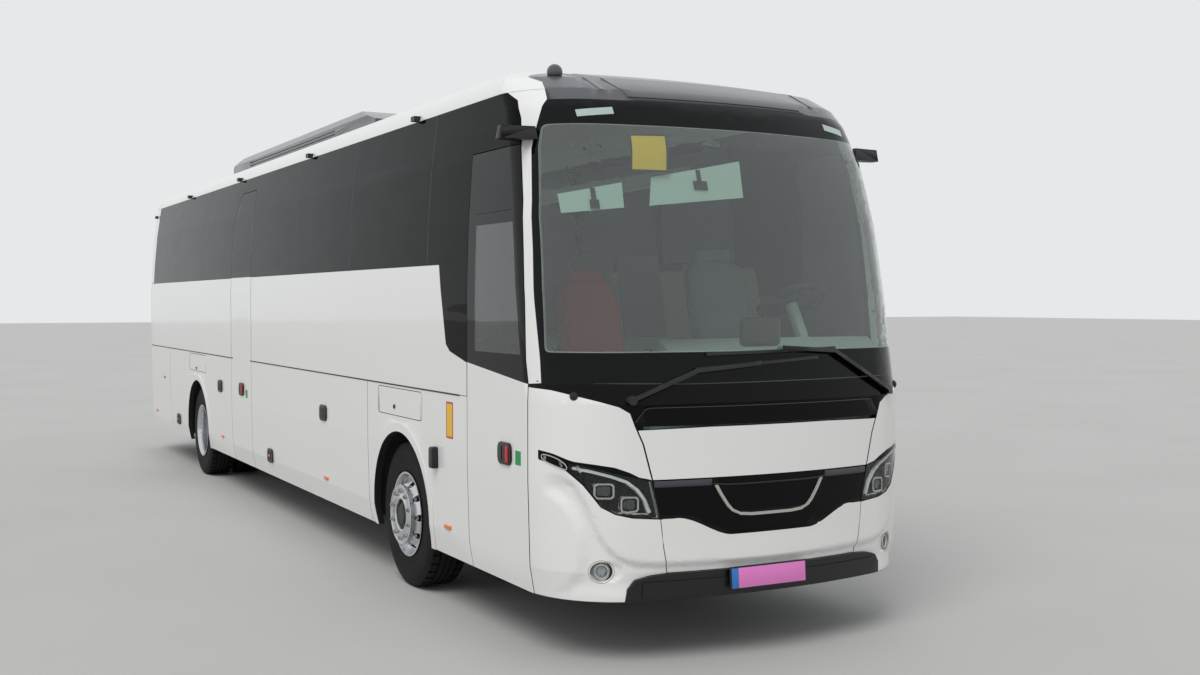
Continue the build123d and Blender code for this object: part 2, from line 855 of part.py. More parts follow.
# Tail lamps: three drums in a shallow recess with a rim
drum_radius, drum_y = 60, 1060
drum_levels = (1245, 1025, 805)
drum_length = 70
with BuildPart() as tail_lamps:
    add(cut_from(frame_layer, lamp_openings[1]))
    rim = rear_prism(rectangle(960 + lamp_rim, 1400, 720 + lamp_rim, 1330 - lamp_rim))
    add(cut_from(shell, lamp_openings[1], without=[rim]))
    with BuildSketch(Plane.YZ.offset(-half_length + 1)):
        for z in drum_levels:
            with Locations((drum_y, z)):
                Circle(drum_radius)
    extrude(amount=drum_length)
    add(cavity, mode=Mode.SUBTRACT)
    mirror(about=Plane.XZ)
write_piece(tail_lamps, "tail_lamps")

engine_edge_y = engine_half_y - door_gap
engine_outline = [(engine_edge_y, bumper_top_z + door_gap), (engine_edge_y, hatch_z - seam)]
# Two banks of cooling slots in the engine door
slot_span = (90, 700)
slot_levels = [780 + 55 * row for row in range(9)]
slot_height, slot_depth = 24, 14
with BuildPart() as engine_door:
    add(cut_from(door_shell, rear_prism(mirrored(engine_outline))))
    with BuildSketch(Plane.YZ.offset(tail_x)):
        for side in (RIGHT, LEFT):
            for z in slot_levels:
                with Locations((side * sum(slot_span) / 2, z)):
                    SlotOverall(slot_span[1] - slot_span[0], slot_height)
    extrude(amount=-half_length + slot_depth - tail_x, mode=Mode.SUBTRACT)
write_piece(engine_door, "engine_door")

with BuildPart() as rear_bumper:
    add(cut_from(shell, across(rectangle(tail_x, corner_x, low_z, bumper_top_z))))
write_piece(rear_bumper, "rear_bumper")

# Roof gear
ac_profile = [
    (-3100, 3400),
    (-3100, 3570),
    (-2950, 3640),
    (-2650, 3692),
    (1150, 3700),
    (1500, 3665),
    (2020, 3540),
    (2020, 3400),
]
ac_section = [(860, 3400), (860, 3590), (800, 3665), (640, 3700)]
# Air slots along both flanks of the unit
ac_slot_x = (-2300, 900)
ac_slot_levels = (3492, 3522, 3552)
ac_slot_height, ac_slot_depth = 14, 18
with BuildPart() as ac_unit:
    add(across(ac_profile))
    add(front_prism(mirrored(ac_section), back=-3200, front=2100), mode=Mode.INTERSECT)
    add(outer, mode=Mode.SUBTRACT)
    with BuildPart(mode=Mode.PRIVATE) as air_slots:
        for side in (RIGHT, LEFT):
            y0, y1 = sorted((side * (ac_section[0][0] - ac_slot_depth), side * (ac_section[0][0] + ac_slot_depth)))
            for z in ac_slot_levels:
                slab(*ac_slot_x, y0, y1, z, z + ac_slot_height)
    add(air_slots, mode=Mode.SUBTRACT)
write_piece(ac_unit, "ac_unit")

# Two roof hatches, and the antenna dome on the cap
hatch_x = (3700, -4700)
dome_place, dome_radius = (5470, -900, 3395), 48
with BuildPart() as roof_hatches:
    for x in hatch_x:
        slab(x - 420, x + 420, -330, 330, 3400, 3565)
    chamfer(roof_hatches.faces().filter_by(Axis.Z).group_by(Axis.Z)[-1].edges(), 22)
    with Locations(dome_place):
        Sphere(radius=dome_radius)
    add(outer, mode=Mode.SUBTRACT)
write_piece(roof_hatches, "roof_hatches")

# Floor, platform and stairs
cab_rear_x = 4450
cab_front_x = 6150
cab_floor_z = 1100
cab_under_z = cab_floor_z - floor_thick
stair_y = -1200
stair_thick = 30
stair_clear = 3
well_outer_y = -1300
well_z = (1000, 1500)
front_treads = [(420, -950), (650, -680), (880, -400)]
mid_treads = [(420, -985), (655, -745), (890, -505), (1125, -265)]
driver_step = 150


def stair(x0, x1, treads, landing_z):
    """Treads and risers as one folded sheet across the doorway."""
    top = []
    y = stair_y
    for z, inner_y in treads:
        top += [(y, z), (inner_y, z)]
        y = inner_y
    top.append((y, landing_z))
    under = [(py + stair_thick, pz - stair_thick) for py, pz in top[1:-1]]
    under.append((y + stair_thick, landing_z))
    outline = top + list(reversed(under)) + [(stair_y, treads[0][0] - stair_thick)]
    return front_prism(outline, back=x0, front=x1)


def stair_well(x0, x1, treads):
    """The room over a stair, cut out of the floor."""
    return front_prism(rectangle(well_outer_y, treads[-1][1], *well_z), back=x0, front=x1)


plinth_x = (4650, 5630)
plinth_y = 320
floor_half_y = 1300
with BuildPart() as deck_levels:
    slab(-half_length, cab_rear_x, -floor_half_y, floor_half_y, floor_z - floor_thick, floor_z)
    slab(cab_rear_x - stair_thick, cab_rear_x, -floor_half_y, floor_half_y, cab_floor_z, floor_z)
    slab(cab_rear_x - stair_thick, cab_front_x, -floor_half_y, floor_half_y, cab_under_z, cab_floor_z)
    slab(*plinth_x, plinth_y, floor_half_y, cab_floor_z, cab_floor_z + driver_step)
with BuildPart() as floor_deck:
    add(cavity)
    add(deck_levels, mode=Mode.INTERSECT)
    # Rear and front end of a doorway, its treads, the floor it leads to
    for x0, x1, treads, landing_z in (
        (mid_door_rear_x, mid_door_front_x, mid_treads, floor_z),
        (front_door_rear_x, front_door_front_x, front_treads, cab_floor_z),
    ):
        add(stair_well(x0, x1, treads), mode=Mode.SUBTRACT)
        add(stair(x0 + stair_clear, x1 - stair_clear, treads, landing_z))
write_piece(floor_deck, "floor_deck")

# Luggage bay: floor and two bulkheads, open at both sides
bay_floor_z = 400
bay_plate = 30
bay_half_y = 1180
bay_rear_x = bay_door_rear_x + bay_plate
bay_front_x = bay_door_front_x - bay_plate
with BuildPart() as luggage_bay:
    slab(bay_rear_x, bay_front_x, -bay_half_y, bay_half_y, bay_floor_z, bay_floor_z + bay_plate)
    for x in (bay_rear_x, bay_front_x - bay_plate):
        slab(x, x + bay_plate, -bay_half_y, bay_half_y, bay_floor_z, floor_z - floor_thick)
write_piece(luggage_bay, "luggage_bay")

# Wheel housings, with their rims against the inside of the panels
housing_inner_y = 545
housing_sheet = 15
housing_low_z = 420
housing_outer_y = 1300
housing_back_y = housing_inner_y - housing_sheet
axle_slot_half_x = 110
axle_slot_height = 200
with BuildPart() as wheel_housings:
    for side in (RIGHT, LEFT):
        for axle_x in (front_axle_x, rear_axle_x):
            with BuildPart(mode=Mode.PRIVATE) as housing:
                add(arch_cutter(axle_x, liner_radius + housing_sheet, housing_back_y, housing_outer_y, side))
                add(arch_cutter(axle_x, liner_radius, housing_inner_y, housing_outer_y, side), mode=Mode.SUBTRACT)
                split(bisect_by=Plane.XY.offset(housing_low_z), keep=Keep.TOP)
                with Locations((axle_x, side * housing_inner_y, housing_low_z)):
                    Box(2 * axle_slot_half_x, 6 * housing_sheet, 2 * axle_slot_height, mode=Mode.SUBTRACT)
                add(cavity, mode=Mode.INTERSECT)
            add(housing)
write_piece(wheel_housings, "wheel_housings")

# Chassis: rails in front of and behind the bay, with cross members and posts
rail_inner_y, rail_outer_y = 400, 470
front_rail_z = (640, 820)
rear_rail_z = (860, 1070)
rear_rail_end_x = -6300
member_width = 60
bay_post_x = (3100, 4300)
cab_post_x = (4900, 6000)
rear_post_x = (-1600, -2300, -4200, -6250)
front_member_x = (3100, 4500, 5300)
front_member_half_y = 880
with BuildPart() as chassis_frame:
    for side in (RIGHT, LEFT):
        y0, y1 = sorted((side * rail_inner_y, side * rail_outer_y))
        slab(bay_front_x, cab_front_x, y0, y1, *front_rail_z)
        slab(rear_rail_end_x, bay_rear_x, y0, y1, *rear_rail_z)
        for x in bay_post_x:
            slab(x, x + member_width, y0, y1, front_rail_z[1], floor_z - floor_thick)
        for x in cab_post_x:
            slab(x, x + member_width, y0, y1, front_rail_z[1], cab_under_z)
        for x in rear_post_x:
            slab(x, x + member_width, y0, y1, rear_rail_z[1], floor_z - floor_thick)
    for x in front_member_x:
        slab(x, x + member_width, -rail_inner_y, rail_inner_y, *front_rail_z)
    slab(cab_front_x - member_width, cab_front_x, -front_member_half_y, front_member_half_y, *front_rail_z)
    for x in rear_post_x:
        slab(x, x + member_width, -rail_inner_y, rail_inner_y, *rear_rail_z)
write_piece(chassis_frame, "chassis_frame")

# Engine with its gearbox, as one block between the rear rails
engine_x = (-6080, -4520)
engine_z = (470, 1180)
with BuildPart() as engine_block:
    slab(*engine_x, -rail_inner_y, rail_inner_y, *engine_z)
write_piece(engine_block, "engine_block")

# Front axle: dropped beam, king pins, and air springs under the rails
beam_half_x = 45
boss_radius = 45
king_pin_radius = 18
spring_y = (rail_inner_y + rail_outer_y) / 2
eye_z = (470, 555)
fork_z = (435, 590)
fork_lug = 30
beam_z = (400, 500)
beam_outline = [
    (0, beam_z[0]),
    (760, beam_z[0]),
    (870, eye_z[0]),
    (kingpin_y, eye_z[0]),
    (kingpin_y, eye_z[1]),
    (850, eye_z[1]),
    (740, beam_z[1]),
    (0, beam_z[1]),
]
# Air springs: a piston on the axle, a bellows under the rail
piston_radius = 70
bellows_radius = 90
bellows_low_z = 550
with BuildPart() as front_axle:
    for side in (RIGHT, LEFT):
        beam_x = (front_axle_x - beam_half_x, front_axle_x + beam_half_x)
        add(front_prism(on_side(beam_outline, side), *beam_x))
        with BuildSketch(Plane.XY.offset(eye_z[0])):
            with Locations((front_axle_x, side * kingpin_y)):
                Circle(boss_radius)
        extrude(amount=eye_z[1] - eye_z[0])
        with BuildSketch(Plane.XY.offset(fork_z[0])):
            with Locations((front_axle_x, side * kingpin_y)):
                Circle(king_pin_radius)
        extrude(amount=fork_z[1] - fork_z[0])
        with BuildSketch(Plane.XY.offset(beam_z[0])):
            with Locations((front_axle_x, side * spring_y)):
                Circle(piston_radius)
        extrude(amount=bellows_low_z - beam_z[0])
        with BuildSketch(Plane.XY.offset(bellows_low_z)):
            with Locations((front_axle_x, side * spring_y)):
                Circle(bellows_radius)
        extrude(amount=front_rail_z[0] - bellows_low_z)
write_piece(front_axle, "front_axle")

# Knuckles: a fork round the beam's end, with the wheel spindle
fork_gap = 5
fork_web = 25
spindle_radius = 38
spindle_length = 145
hub_play = 0.3
fork_web_y = kingpin_y + boss_radius + fork_gap
for side, name in ((RIGHT, "knuckle_right"), (LEFT, "knuckle_left")):
    with BuildPart() as knuckle:
        for z in (fork_z[0], fork_z[1] - fork_lug):
            with BuildSketch(Plane.XY.offset(z)):
                with Locations((front_axle_x, side * kingpin_y)):
                    Circle(boss_radius)
                with Locations((front_axle_x, side * (kingpin_y + fork_web_y) / 2)):
                    Rectangle(2 * boss_radius, fork_web_y - kingpin_y)
                with Locations((front_axle_x, side * kingpin_y)):
                    Circle(king_pin_radius + pin_play, mode=Mode.SUBTRACT)
            extrude(amount=fork_lug)
        y0, y1 = sorted((side * fork_web_y, side * (fork_web_y + fork_web)))
        slab(front_axle_x - boss_radius, front_axle_x + boss_radius, y0, y1, *fork_z)
        with BuildSketch(Plane.XZ.offset(-side * fork_web_y)):
            with Locations((front_axle_x, axle_z)):
                Circle(spindle_radius)
        extrude(amount=-side * spindle_length)
    write_piece(knuckle, name)

# Wheels: section points are distance from the centre plane of the coach, and radius
flange_radius = 298
front_rim = [
    (934, flange_radius),
    (950, rim_radius),
    (1205, rim_radius),
    (1223, flange_radius),
    (1223, 284),
    (1165, 262),
    (1234, 204),
    (1234, 72),
    (1262, 66),
    (1262, 0),
    (1200, 0),
    (1200, spindle_radius + hub_play),
    (1085, spindle_radius + hub_play),
    (1085, 100),
    (1218, 105),
    (1218, 192),
    (1140, 262),
    (934, 270),
]
bead_play = 0.3
tyre_section = [
    (951, rim_radius + bead_play),
    (931, 440),
    (960, tyre_radius),
    (1195, tyre_radius),
    (1224, 440),
    (1204, rim_radius + bead_play),
]
twin_plane_y = 910
inner_bore_radius = 110
# The twin rim's face, from the hub's outside to the drop over the bolt ring, and its back
twin_bowl = [
    (934, flange_radius),
    (950, rim_radius),
    (1205, rim_radius),
    (1223, flange_radius),
    (1223, 284),
    (1190, 264),
    (1010, 256),
    (922, 186),
]
twin_back = [
    (twin_plane_y, 196),
    (968, 252),
    (934, 270),
]
outer_twin_rim = (
    twin_bowl
    + [
        (922, 120),
        (990, 112),
        (990, 0),
        (975, 0),
        (975, spindle_radius + hub_play),
        (twin_plane_y, spindle_radius + hub_play),
    ]
    + twin_back
)
hand_hole_radius = 24
hand_hole_pitch = 224
hand_holes = 10
front_hole_y = (1150, 1245)
twin_hole_y = (912, 1012)


def wheel_of_revolution(section, side, axle_x):
    """Turn a section about the wheel's axis."""
    with BuildPart() as ring:
        with BuildSketch(Plane.XY.offset(axle_z)):
            Polygon(*[(axle_x + r, side * y) for y, r in section], align=None)
        revolve(axis=Axis((axle_x, 0, axle_z), (0, 1, 0)))
    return ring.part


def hand_hole_cutter(axle_x, y0, y1):
    """A ring of round hand holes through the wheel disc."""
    low, high = sorted((y0, y1))
    with BuildPart() as holes:
        with BuildSketch(Plane.XZ.offset(-low)):
            with Locations((axle_x, axle_z)):
                with PolarLocations(hand_hole_pitch, hand_holes):
                    Circle(hand_hole_radius)
        extrude(amount=-(high - low))
    return holes.part


def about_twin_plane(section):
    """The inner twin's section: the outer one turned about the plane between them."""
    return [(2 * twin_plane_y - y, r) for y, r in section]


inner_bore = [(922, inner_bore_radius), (twin_plane_y, inner_bore_radius)]
inner_twin_rim = about_twin_plane(twin_bowl + inner_bore + twin_back)
inner_tyre_section = about_twin_plane(tyre_section)

for side, name in ((RIGHT, "right"), (LEFT, "left")):
    with BuildPart() as front_tyre:
        add(wheel_of_revolution(tyre_section, side, front_axle_x))
    write_piece(front_tyre, "front_tyre_" + name)
    with BuildPart() as front_rim_piece:
        add(wheel_of_revolution(front_rim, side, front_axle_x))
        add(hand_hole_cutter(front_axle_x, side * front_hole_y[0], side * front_hole_y[1]), mode=Mode.SUBTRACT)
    write_piece(front_rim_piece, "front_rim_" + name)
    with BuildPart() as rear_tyres:
        add(wheel_of_revolution(tyre_section, side, rear_axle_x))
        add(wheel_of_revolution(inner_tyre_section, side, rear_axle_x))
    write_piece(rear_tyres, "rear_tyres_" + name)
    with BuildPart() as rear_rims:
        add(wheel_of_revolution(outer_twin_rim, side, rear_axle_x))
        add(hand_hole_cutter(rear_axle_x, side * twin_hole_y[0], side * twin_hole_y[1]), mode=Mode.SUBTRACT)
        add(wheel_of_revolution(inner_twin_rim, side, rear_axle_x))
    write_piece(rear_rims, "rear_rims_" + name)

# Rear axle: final drive, tubes, stub spindles, spring beams and air springs
tube_radius = 75
tube_end_y = 830
stub_end_y = 970
drive_radius = 200
drive_half_y = 120
spring_x = 520
spring_beam_z = (460, 540)
spring_beam_half_y = 45
spring_beam_end = 60
bellows_foot_z = 600
with BuildPart() as rear_axle:
    with BuildSketch(Plane.XZ.offset(-tube_end_y)):
        with Locations((rear_axle_x, axle_z)):
            Circle(tube_radius)
    extrude(amount=2 * tube_end_y)
    with BuildSketch(Plane.XZ.offset(-stub_end_y)):
        with Locations((rear_axle_x, axle_z)):
            Circle(spindle_radius)
    extrude(amount=2 * stub_end_y)
    with BuildSketch(Plane.XZ.offset(-drive_half_y)):
        with Locations((rear_axle_x, axle_z)):
            Circle(drive_radius)
    extrude(amount=2 * drive_half_y)
    for side in (RIGHT, LEFT):
        y0, y1 = sorted((side * (spring_y - spring_beam_half_y), side * (spring_y + spring_beam_half_y)))
        beam_reach = spring_x + spring_beam_end
        slab(rear_axle_x - beam_reach, rear_axle_x + beam_reach, y0, y1, *spring_beam_z)
        for x in (rear_axle_x - spring_x, rear_axle_x + spring_x):
            with BuildSketch(Plane.XY.offset(spring_beam_z[1])):
                with Locations((x, side * spring_y)):
                    Circle(piston_radius)
            extrude(amount=bellows_foot_z - spring_beam_z[1])
            with BuildSketch(Plane.XY.offset(bellows_foot_z)):
                with Locations((x, side * spring_y)):
                    Circle(bellows_radius)
            extrude(amount=rear_rail_z[0] - bellows_foot_z)
write_piece(rear_axle, "rear_axle")

# Seats: benches of two on each side of the aisle
seat_pitch = 800
seat_rows_right = [3650, 2850, 2050, 1250, 450, -2100, -2900, -3700, -4500, -5300]
seat_rows_left = [3650 - seat_pitch * row for row in range(12)]
seat_outer_y, seat_inner_y = 1150, 290
seat_profile = [
    (-190, 0),
    (90, 0),
    (90, 290),
    (250, 330),
    (250, 430),
    (-170, 430),
    (-330, 1120),
    (-430, 1120),
    (-300, 300),
    (-190, 290),
]
for side, name, rows in ((RIGHT, "seats_right", seat_rows_right), (LEFT, "seats_left", seat_rows_left)):
    with BuildPart() as seats:
        for x in rows:
            profile = [(x + dx, floor_z + dz) for dx, dz in seat_profile]
            add(side_prism(profile, side, near=seat_inner_y, far=seat_outer_y))
    write_piece(seats, name)

# Cab: driver's and guide's seats, steering wheel, dashboard
driver_x, driver_y = 5060, 720
guide_x, guide_y = 4800, -170
with BuildPart() as cab_seats:
    for x, y, z in ((driver_x, driver_y, cab_floor_z + driver_step), (guide_x, guide_y, cab_floor_z)):
        profile = [(x + dx, z + dz) for dx, dz in seat_profile]
        add(side_prism(profile, LEFT, near=y - 240, far=y + 240))
write_piece(cab_seats, "cab_seats")

dash_profile = [(5640, 1100), (5640, 1600), (5800, 1790), (5990, 1700), (6420, 1560), (6420, 1100)]
dash_right_y = -380
dash_clearance = 12
steering_x, steering_z = 5640, 2010
steering_radius = 225
rim_tube = 15
hub_radius = 75
column_play = 0.3
column_length = 420
rake_rise = 60
rake = Plane(
    origin=(steering_x, driver_y, steering_z),
    x_dir=(0, 1, 0),
    z_dir=(-cos(radians(rake_rise)), 0, sin(radians(rake_rise))),
)
dash_core = body_hull(wall + dash_clearance, open_below=100)
with BuildPart() as dashboard:
    with BuildSketch(rake.offset(-rim_tube - column_play)):
        Circle(40)
    extrude(amount=-column_length)
    add(cut_from(dash_core, side_prism(dash_profile, LEFT, near=dash_right_y)))
write_piece(dashboard, "dashboard")

with BuildPart() as steering_wheel:
    with BuildSketch(rake.offset(-rim_tube)):
        Circle(steering_radius)
        Circle(steering_radius - 2 * rim_tube, mode=Mode.SUBTRACT)
        Rectangle(2 * (steering_radius - rim_tube), 50)
        Circle(hub_radius)
    extrude(amount=2 * rim_tube)
write_piece(steering_wheel, "steering_wheel")

# Luggage racks over the seats, against the window frames, and the flat ceiling between the coves
rack_outline = [
    (760, 2920),
    (1180, 2960),
    (1300, 2960),
    (1300, 2990),
    (1180, 2990),
    (790, 2950),
    (790, 3010),
    (760, 3010),
]
rack_span = (-5900, 4300)
ceiling_z = 3335
ceiling_sheet = 12
ceiling_rear_x = -6320
ceiling_outline = rectangle(ceiling_rear_x, cab_rear_x, ceiling_z, ceiling_z + ceiling_sheet)
with BuildPart() as racks_and_ceiling:
    for side in (RIGHT, LEFT):
        add(cut_from(cavity, front_prism(on_side(rack_outline, side), *rack_span)))
    add(cut_from(cavity, across(ceiling_outline)))
write_piece(racks_and_ceiling, "racks_and_ceiling")

# Cameras: tapered mirror arms on the screen pillars, corner domes in front, a box behind the front
# door, and small pods along the edge of the roof
camera_z, camera_height, camera_taper = 2985, 76, 9
camera_arm = [(5618, 1150), (5765, 1150), (5738, 1362), (5724, 1375), (5668, 1375), (5652, 1362)]
corner_camera, corner_camera_radius = (6167, 1124, 1496), 28
box_camera = (4426, 4486, 1180, 1308, 954, 1044)
pod_places = [(3918, 3280), (1286, 3280), (-1299, 3280), (-3886, 3280), (-6110, 3156)]
pod_half_length, pod_half_height, pod_outer_y = 35, 17, 1232
pod_inner_y = 1120
with BuildPart() as mirror_cameras:
    with BuildSketch(Plane.XY.offset(camera_z - camera_height / 2)):
        Polygon(*camera_arm, align=None)
    extrude(amount=camera_height, taper=camera_taper)
    with Locations(corner_camera):
        Sphere(radius=corner_camera_radius)
    slab(*box_camera)
    for x, z in pod_places:
        slab(
            *(x - pod_half_length, x + pod_half_length),
            *(pod_inner_y, pod_outer_y),
            *(z - pod_half_height, z + pod_half_height),
        )
    mirror(about=Plane.XZ)
    add(outer, mode=Mode.SUBTRACT)
write_piece(mirror_cameras, "mirror_cameras")

# Wipers: pivots in the black panel, arms parked low, blades along the glass
wiper_stand_off = 16
wiper_depth = 20
blade_play = 0.3
wiper_routes = [
    [(-873, 1478), (-475, 1632), (-60, 1668)],
    [(960, 1478), (500, 1728), (110, 1752)],
]
blade_spans = [((-480, 1640), (370, 1692)), ((520, 1742), (-400, 1722))]
arm_half_width = 12
blade_half_width = 9
pivot_radius = 26


blade_face = body_hull(-blade_play)
blade_back = body_hull(-wiper_stand_off)
arm_back = body_hull(-wiper_stand_off - wiper_depth)
blade_layer = blade_back - blade_face
arm_layer = arm_back - blade_back
with BuildPart() as wipers:
    for route, blade_span in zip(wiper_routes, blade_spans):
        with BuildPart(mode=Mode.PRIVATE) as wiper_pivot:
            with BuildSketch(Plane.YZ.offset(front_depth_x)):
                with Locations(route[0]):
                    Circle(pivot_radius)
            extrude(amount=700)
            add(arm_back, mode=Mode.INTERSECT)
            add(outer, mode=Mode.SUBTRACT)
        add(cut_from(blade_layer, flat_bar(blade_span, blade_half_width)))
        add(cut_from(arm_layer, flat_bar(route, arm_half_width)))
        add(wiper_pivot)
write_piece(wipers, "wipers")
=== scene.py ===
import json
import math

import bmesh
import bpy
from mathutils import Matrix, Vector
from mathutils.bvhtree import BVHTree

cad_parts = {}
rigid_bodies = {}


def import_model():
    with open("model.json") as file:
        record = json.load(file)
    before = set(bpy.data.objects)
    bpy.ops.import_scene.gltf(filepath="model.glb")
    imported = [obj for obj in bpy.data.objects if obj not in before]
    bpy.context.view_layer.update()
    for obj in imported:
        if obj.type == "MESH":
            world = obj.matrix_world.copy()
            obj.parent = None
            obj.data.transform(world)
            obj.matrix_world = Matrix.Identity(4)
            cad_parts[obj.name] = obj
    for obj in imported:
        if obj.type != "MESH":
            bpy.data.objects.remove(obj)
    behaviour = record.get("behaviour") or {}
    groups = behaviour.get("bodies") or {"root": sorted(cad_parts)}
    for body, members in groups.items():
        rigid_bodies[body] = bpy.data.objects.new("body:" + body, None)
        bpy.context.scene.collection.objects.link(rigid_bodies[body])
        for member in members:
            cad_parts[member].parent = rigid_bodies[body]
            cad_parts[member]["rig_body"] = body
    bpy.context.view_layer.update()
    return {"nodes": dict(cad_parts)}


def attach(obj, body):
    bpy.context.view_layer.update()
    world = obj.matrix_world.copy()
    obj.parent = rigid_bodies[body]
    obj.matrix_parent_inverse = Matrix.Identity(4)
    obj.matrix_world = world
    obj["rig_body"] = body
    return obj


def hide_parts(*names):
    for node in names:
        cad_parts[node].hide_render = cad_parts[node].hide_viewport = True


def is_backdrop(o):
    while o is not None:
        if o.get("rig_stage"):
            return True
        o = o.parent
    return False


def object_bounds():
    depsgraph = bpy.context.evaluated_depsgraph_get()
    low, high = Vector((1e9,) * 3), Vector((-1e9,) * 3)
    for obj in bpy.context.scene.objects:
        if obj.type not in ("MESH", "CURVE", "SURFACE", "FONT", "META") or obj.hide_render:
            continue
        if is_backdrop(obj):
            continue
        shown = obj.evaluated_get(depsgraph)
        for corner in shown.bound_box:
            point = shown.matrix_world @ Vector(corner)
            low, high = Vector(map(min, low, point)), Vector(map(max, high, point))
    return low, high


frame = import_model()


# Road, sky and light.
# A pale, even floor under an overcast studio sky, with one wide soft lamp high at the front right.
# The sky seen by the camera and in reflections is as pale as the one that lights the coach.
def srgb(code):
    """A colour written as sRGB hex, in linear values."""
    channels = [int(code[i : i + 2], 16) / 255 for i in (1, 3, 5)]
    linear = [c / 12.92 if c <= 0.04045 else ((c + 0.055) / 1.055) ** 2.4 for c in channels]
    return (*linear, 1.0)


def add_node(tree, kind, inputs=None, **settings):
    """One shader node: its settings, and its inputs as plain values or as sockets to link."""
    node = tree.nodes.new("ShaderNode" + kind)
    for name, value in settings.items():
        setattr(node, name, value)
    for name, value in (inputs or {}).items():
        socket = node.inputs[name]
        if isinstance(value, bpy.types.NodeSocket):
            tree.links.new(value, socket)
        else:
            socket.default_value = value
    return node


def blank_material(name):
    """A material with no nodes yet, and its tree."""
    material = bpy.data.materials.new(name)
    material.use_nodes = True
    material.node_tree.nodes.clear()
    return material, material.node_tree


def surface(tree, shader):
    """Make a shader the one that shows."""
    add_node(tree, "OutputMaterial", {"Surface": shader.outputs[0]})


def mesh_object(name, work):
    """Turn a finished bmesh into an object at the origin."""
    mesh = bpy.data.meshes.new(name)
    work.to_mesh(mesh)
    work.free()
    made = bpy.data.objects.new(name, mesh)
    bpy.context.scene.collection.objects.link(made)
    return made


sky_light, sky_strength = "#d9dee3", 0.85
sky_seen = "#e6e8ea"
world = bpy.data.worlds.new("overcast_sky")
bpy.context.scene.world = world
world.use_nodes = True
sky = world.node_tree
sky.nodes.clear()
path = add_node(sky, "LightPath")
seen = path.outputs["Is Camera Ray"]
for kind in ("Is Glossy Ray", "Is Transmission Ray"):
    seen = add_node(sky, "Math", {0: seen, 1: path.outputs[kind]}, operation="MAXIMUM").outputs[0]
lighting = add_node(sky, "Background", {"Color": srgb(sky_light), "Strength": sky_strength})
background = add_node(sky, "Background", {"Color": srgb(sky_seen), "Strength": 1.0})
choice = add_node(sky, "MixShader", {0: seen, 1: lighting.outputs[0], 2: background.outputs[0]})
add_node(sky, "OutputWorld", {"Surface": choice.outputs[0]})

floor_half = 120
work = bmesh.new()
bmesh.ops.create_grid(work, x_segments=1, y_segments=1, size=floor_half)
floor = mesh_object("floor", work)
floor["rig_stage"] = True
concrete, tree = blank_material("swept_concrete_floor")
where = add_node(tree, "TexCoord")
stain = add_node(tree, "TexNoise", {"Vector": where.outputs["Object"], "Scale": 0.35, "Detail": 5.0})
tone = add_node(tree, "ValToRGB", {"Fac": stain.outputs["Fac"]})
tone.color_ramp.elements[0].color = srgb("#b3b1ad")
tone.color_ramp.elements[1].color = srgb("#c1bfbb")
surface(tree, add_node(tree, "BsdfPrincipled", {"Base Color": tone.outputs["Color"], "Roughness": 0.75}))
floor.data.materials.append(concrete)

key_energy, key_width = 1.6, math.radians(35)
key = bpy.data.objects.new("soft_key", bpy.data.lights.new("soft_key", "SUN"))
key.data.energy = key_energy
key.data.angle = key_width
key.rotation_euler = (math.radians(28), math.radians(24), 0)
key.visible_glossy = False
key.visible_transmission = False
bpy.context.scene.collection.objects.link(key)
bpy.context.scene.view_settings.view_transform = "Standard"

# Camera, where the photograph was taken: at eye height, off the right front corner.
camera_place = Vector((12.668, -4.448, 2.019))
camera_turn, camera_dip = math.radians(28.184), math.radians(1.563)
sensor_width, focal_share = 36, 1328.5 / 1200
camera = bpy.data.objects.new("camera", bpy.data.cameras.new("camera"))
camera.data.sensor_width = sensor_width
camera.data.lens = sensor_width * focal_share
level = math.cos(camera_dip)
ahead = Vector((-math.cos(camera_turn) * level, math.sin(camera_turn) * level, -math.sin(camera_dip)))
camera.location = camera_place
camera.rotation_mode = "QUATERNION"
camera.rotation_quaternion = ahead.to_track_quat("-Z", "Y")
bpy.context.scene.collection.objects.link(camera)
bpy.context.scene.camera = camera


# Chassis, axles and running gear.
# Welded steel sections and cast axles under black enamel, dulled by road dust. The enamel keeps a
# low sheen on the flats and turns brown-grey where dust settles.
def worked_surface(name, tones, patch, grain, depth, roughness, metallic=0.0, coat=0.0, ior=1.5):
    """A material that wanders between two tones over patches and stands up in a grain; sizes in metres."""
    material, tree = blank_material(name)
    where = add_node(tree, "TexCoord").outputs["Object"]
    cloud = add_node(tree, "TexNoise", {"Vector": where, "Scale": 1 / patch, "Detail": 4.0}).outputs["Fac"]
    blend = {"Factor": cloud, "A": srgb(tones[0]), "B": srgb(tones[1])}
    tone = add_node(tree, "Mix", blend, data_type="RGBA")
    fine = add_node(tree, "TexNoise", {"Vector": where, "Scale": 1 / grain, "Detail": 2.0})
    raised = add_node(tree, "Bump", {"Height": fine.outputs["Fac"], "Strength": 0.6, "Distance": depth})
    spread_of = {"Value": cloud, "To Min": roughness * 0.85, "To Max": min(1.0, roughness * 1.2)}
    look = {
        "Base Color": tone.outputs[2],
        "Roughness": add_node(tree, "MapRange", spread_of).outputs["Result"],
        "Metallic": metallic,
        "IOR": ior,
        "Normal": raised.outputs["Normal"],
        "Coat Weight": coat,
        "Coat Roughness": 0.05,
    }
    surface(tree, add_node(tree, "BsdfPrincipled", look))
    return material


def finish(nodes, material):
    """Give CAD nodes that show as they are their material."""
    for node in nodes:
        materials = frame["nodes"][node].data.materials
        materials.clear()
        materials.append(material)


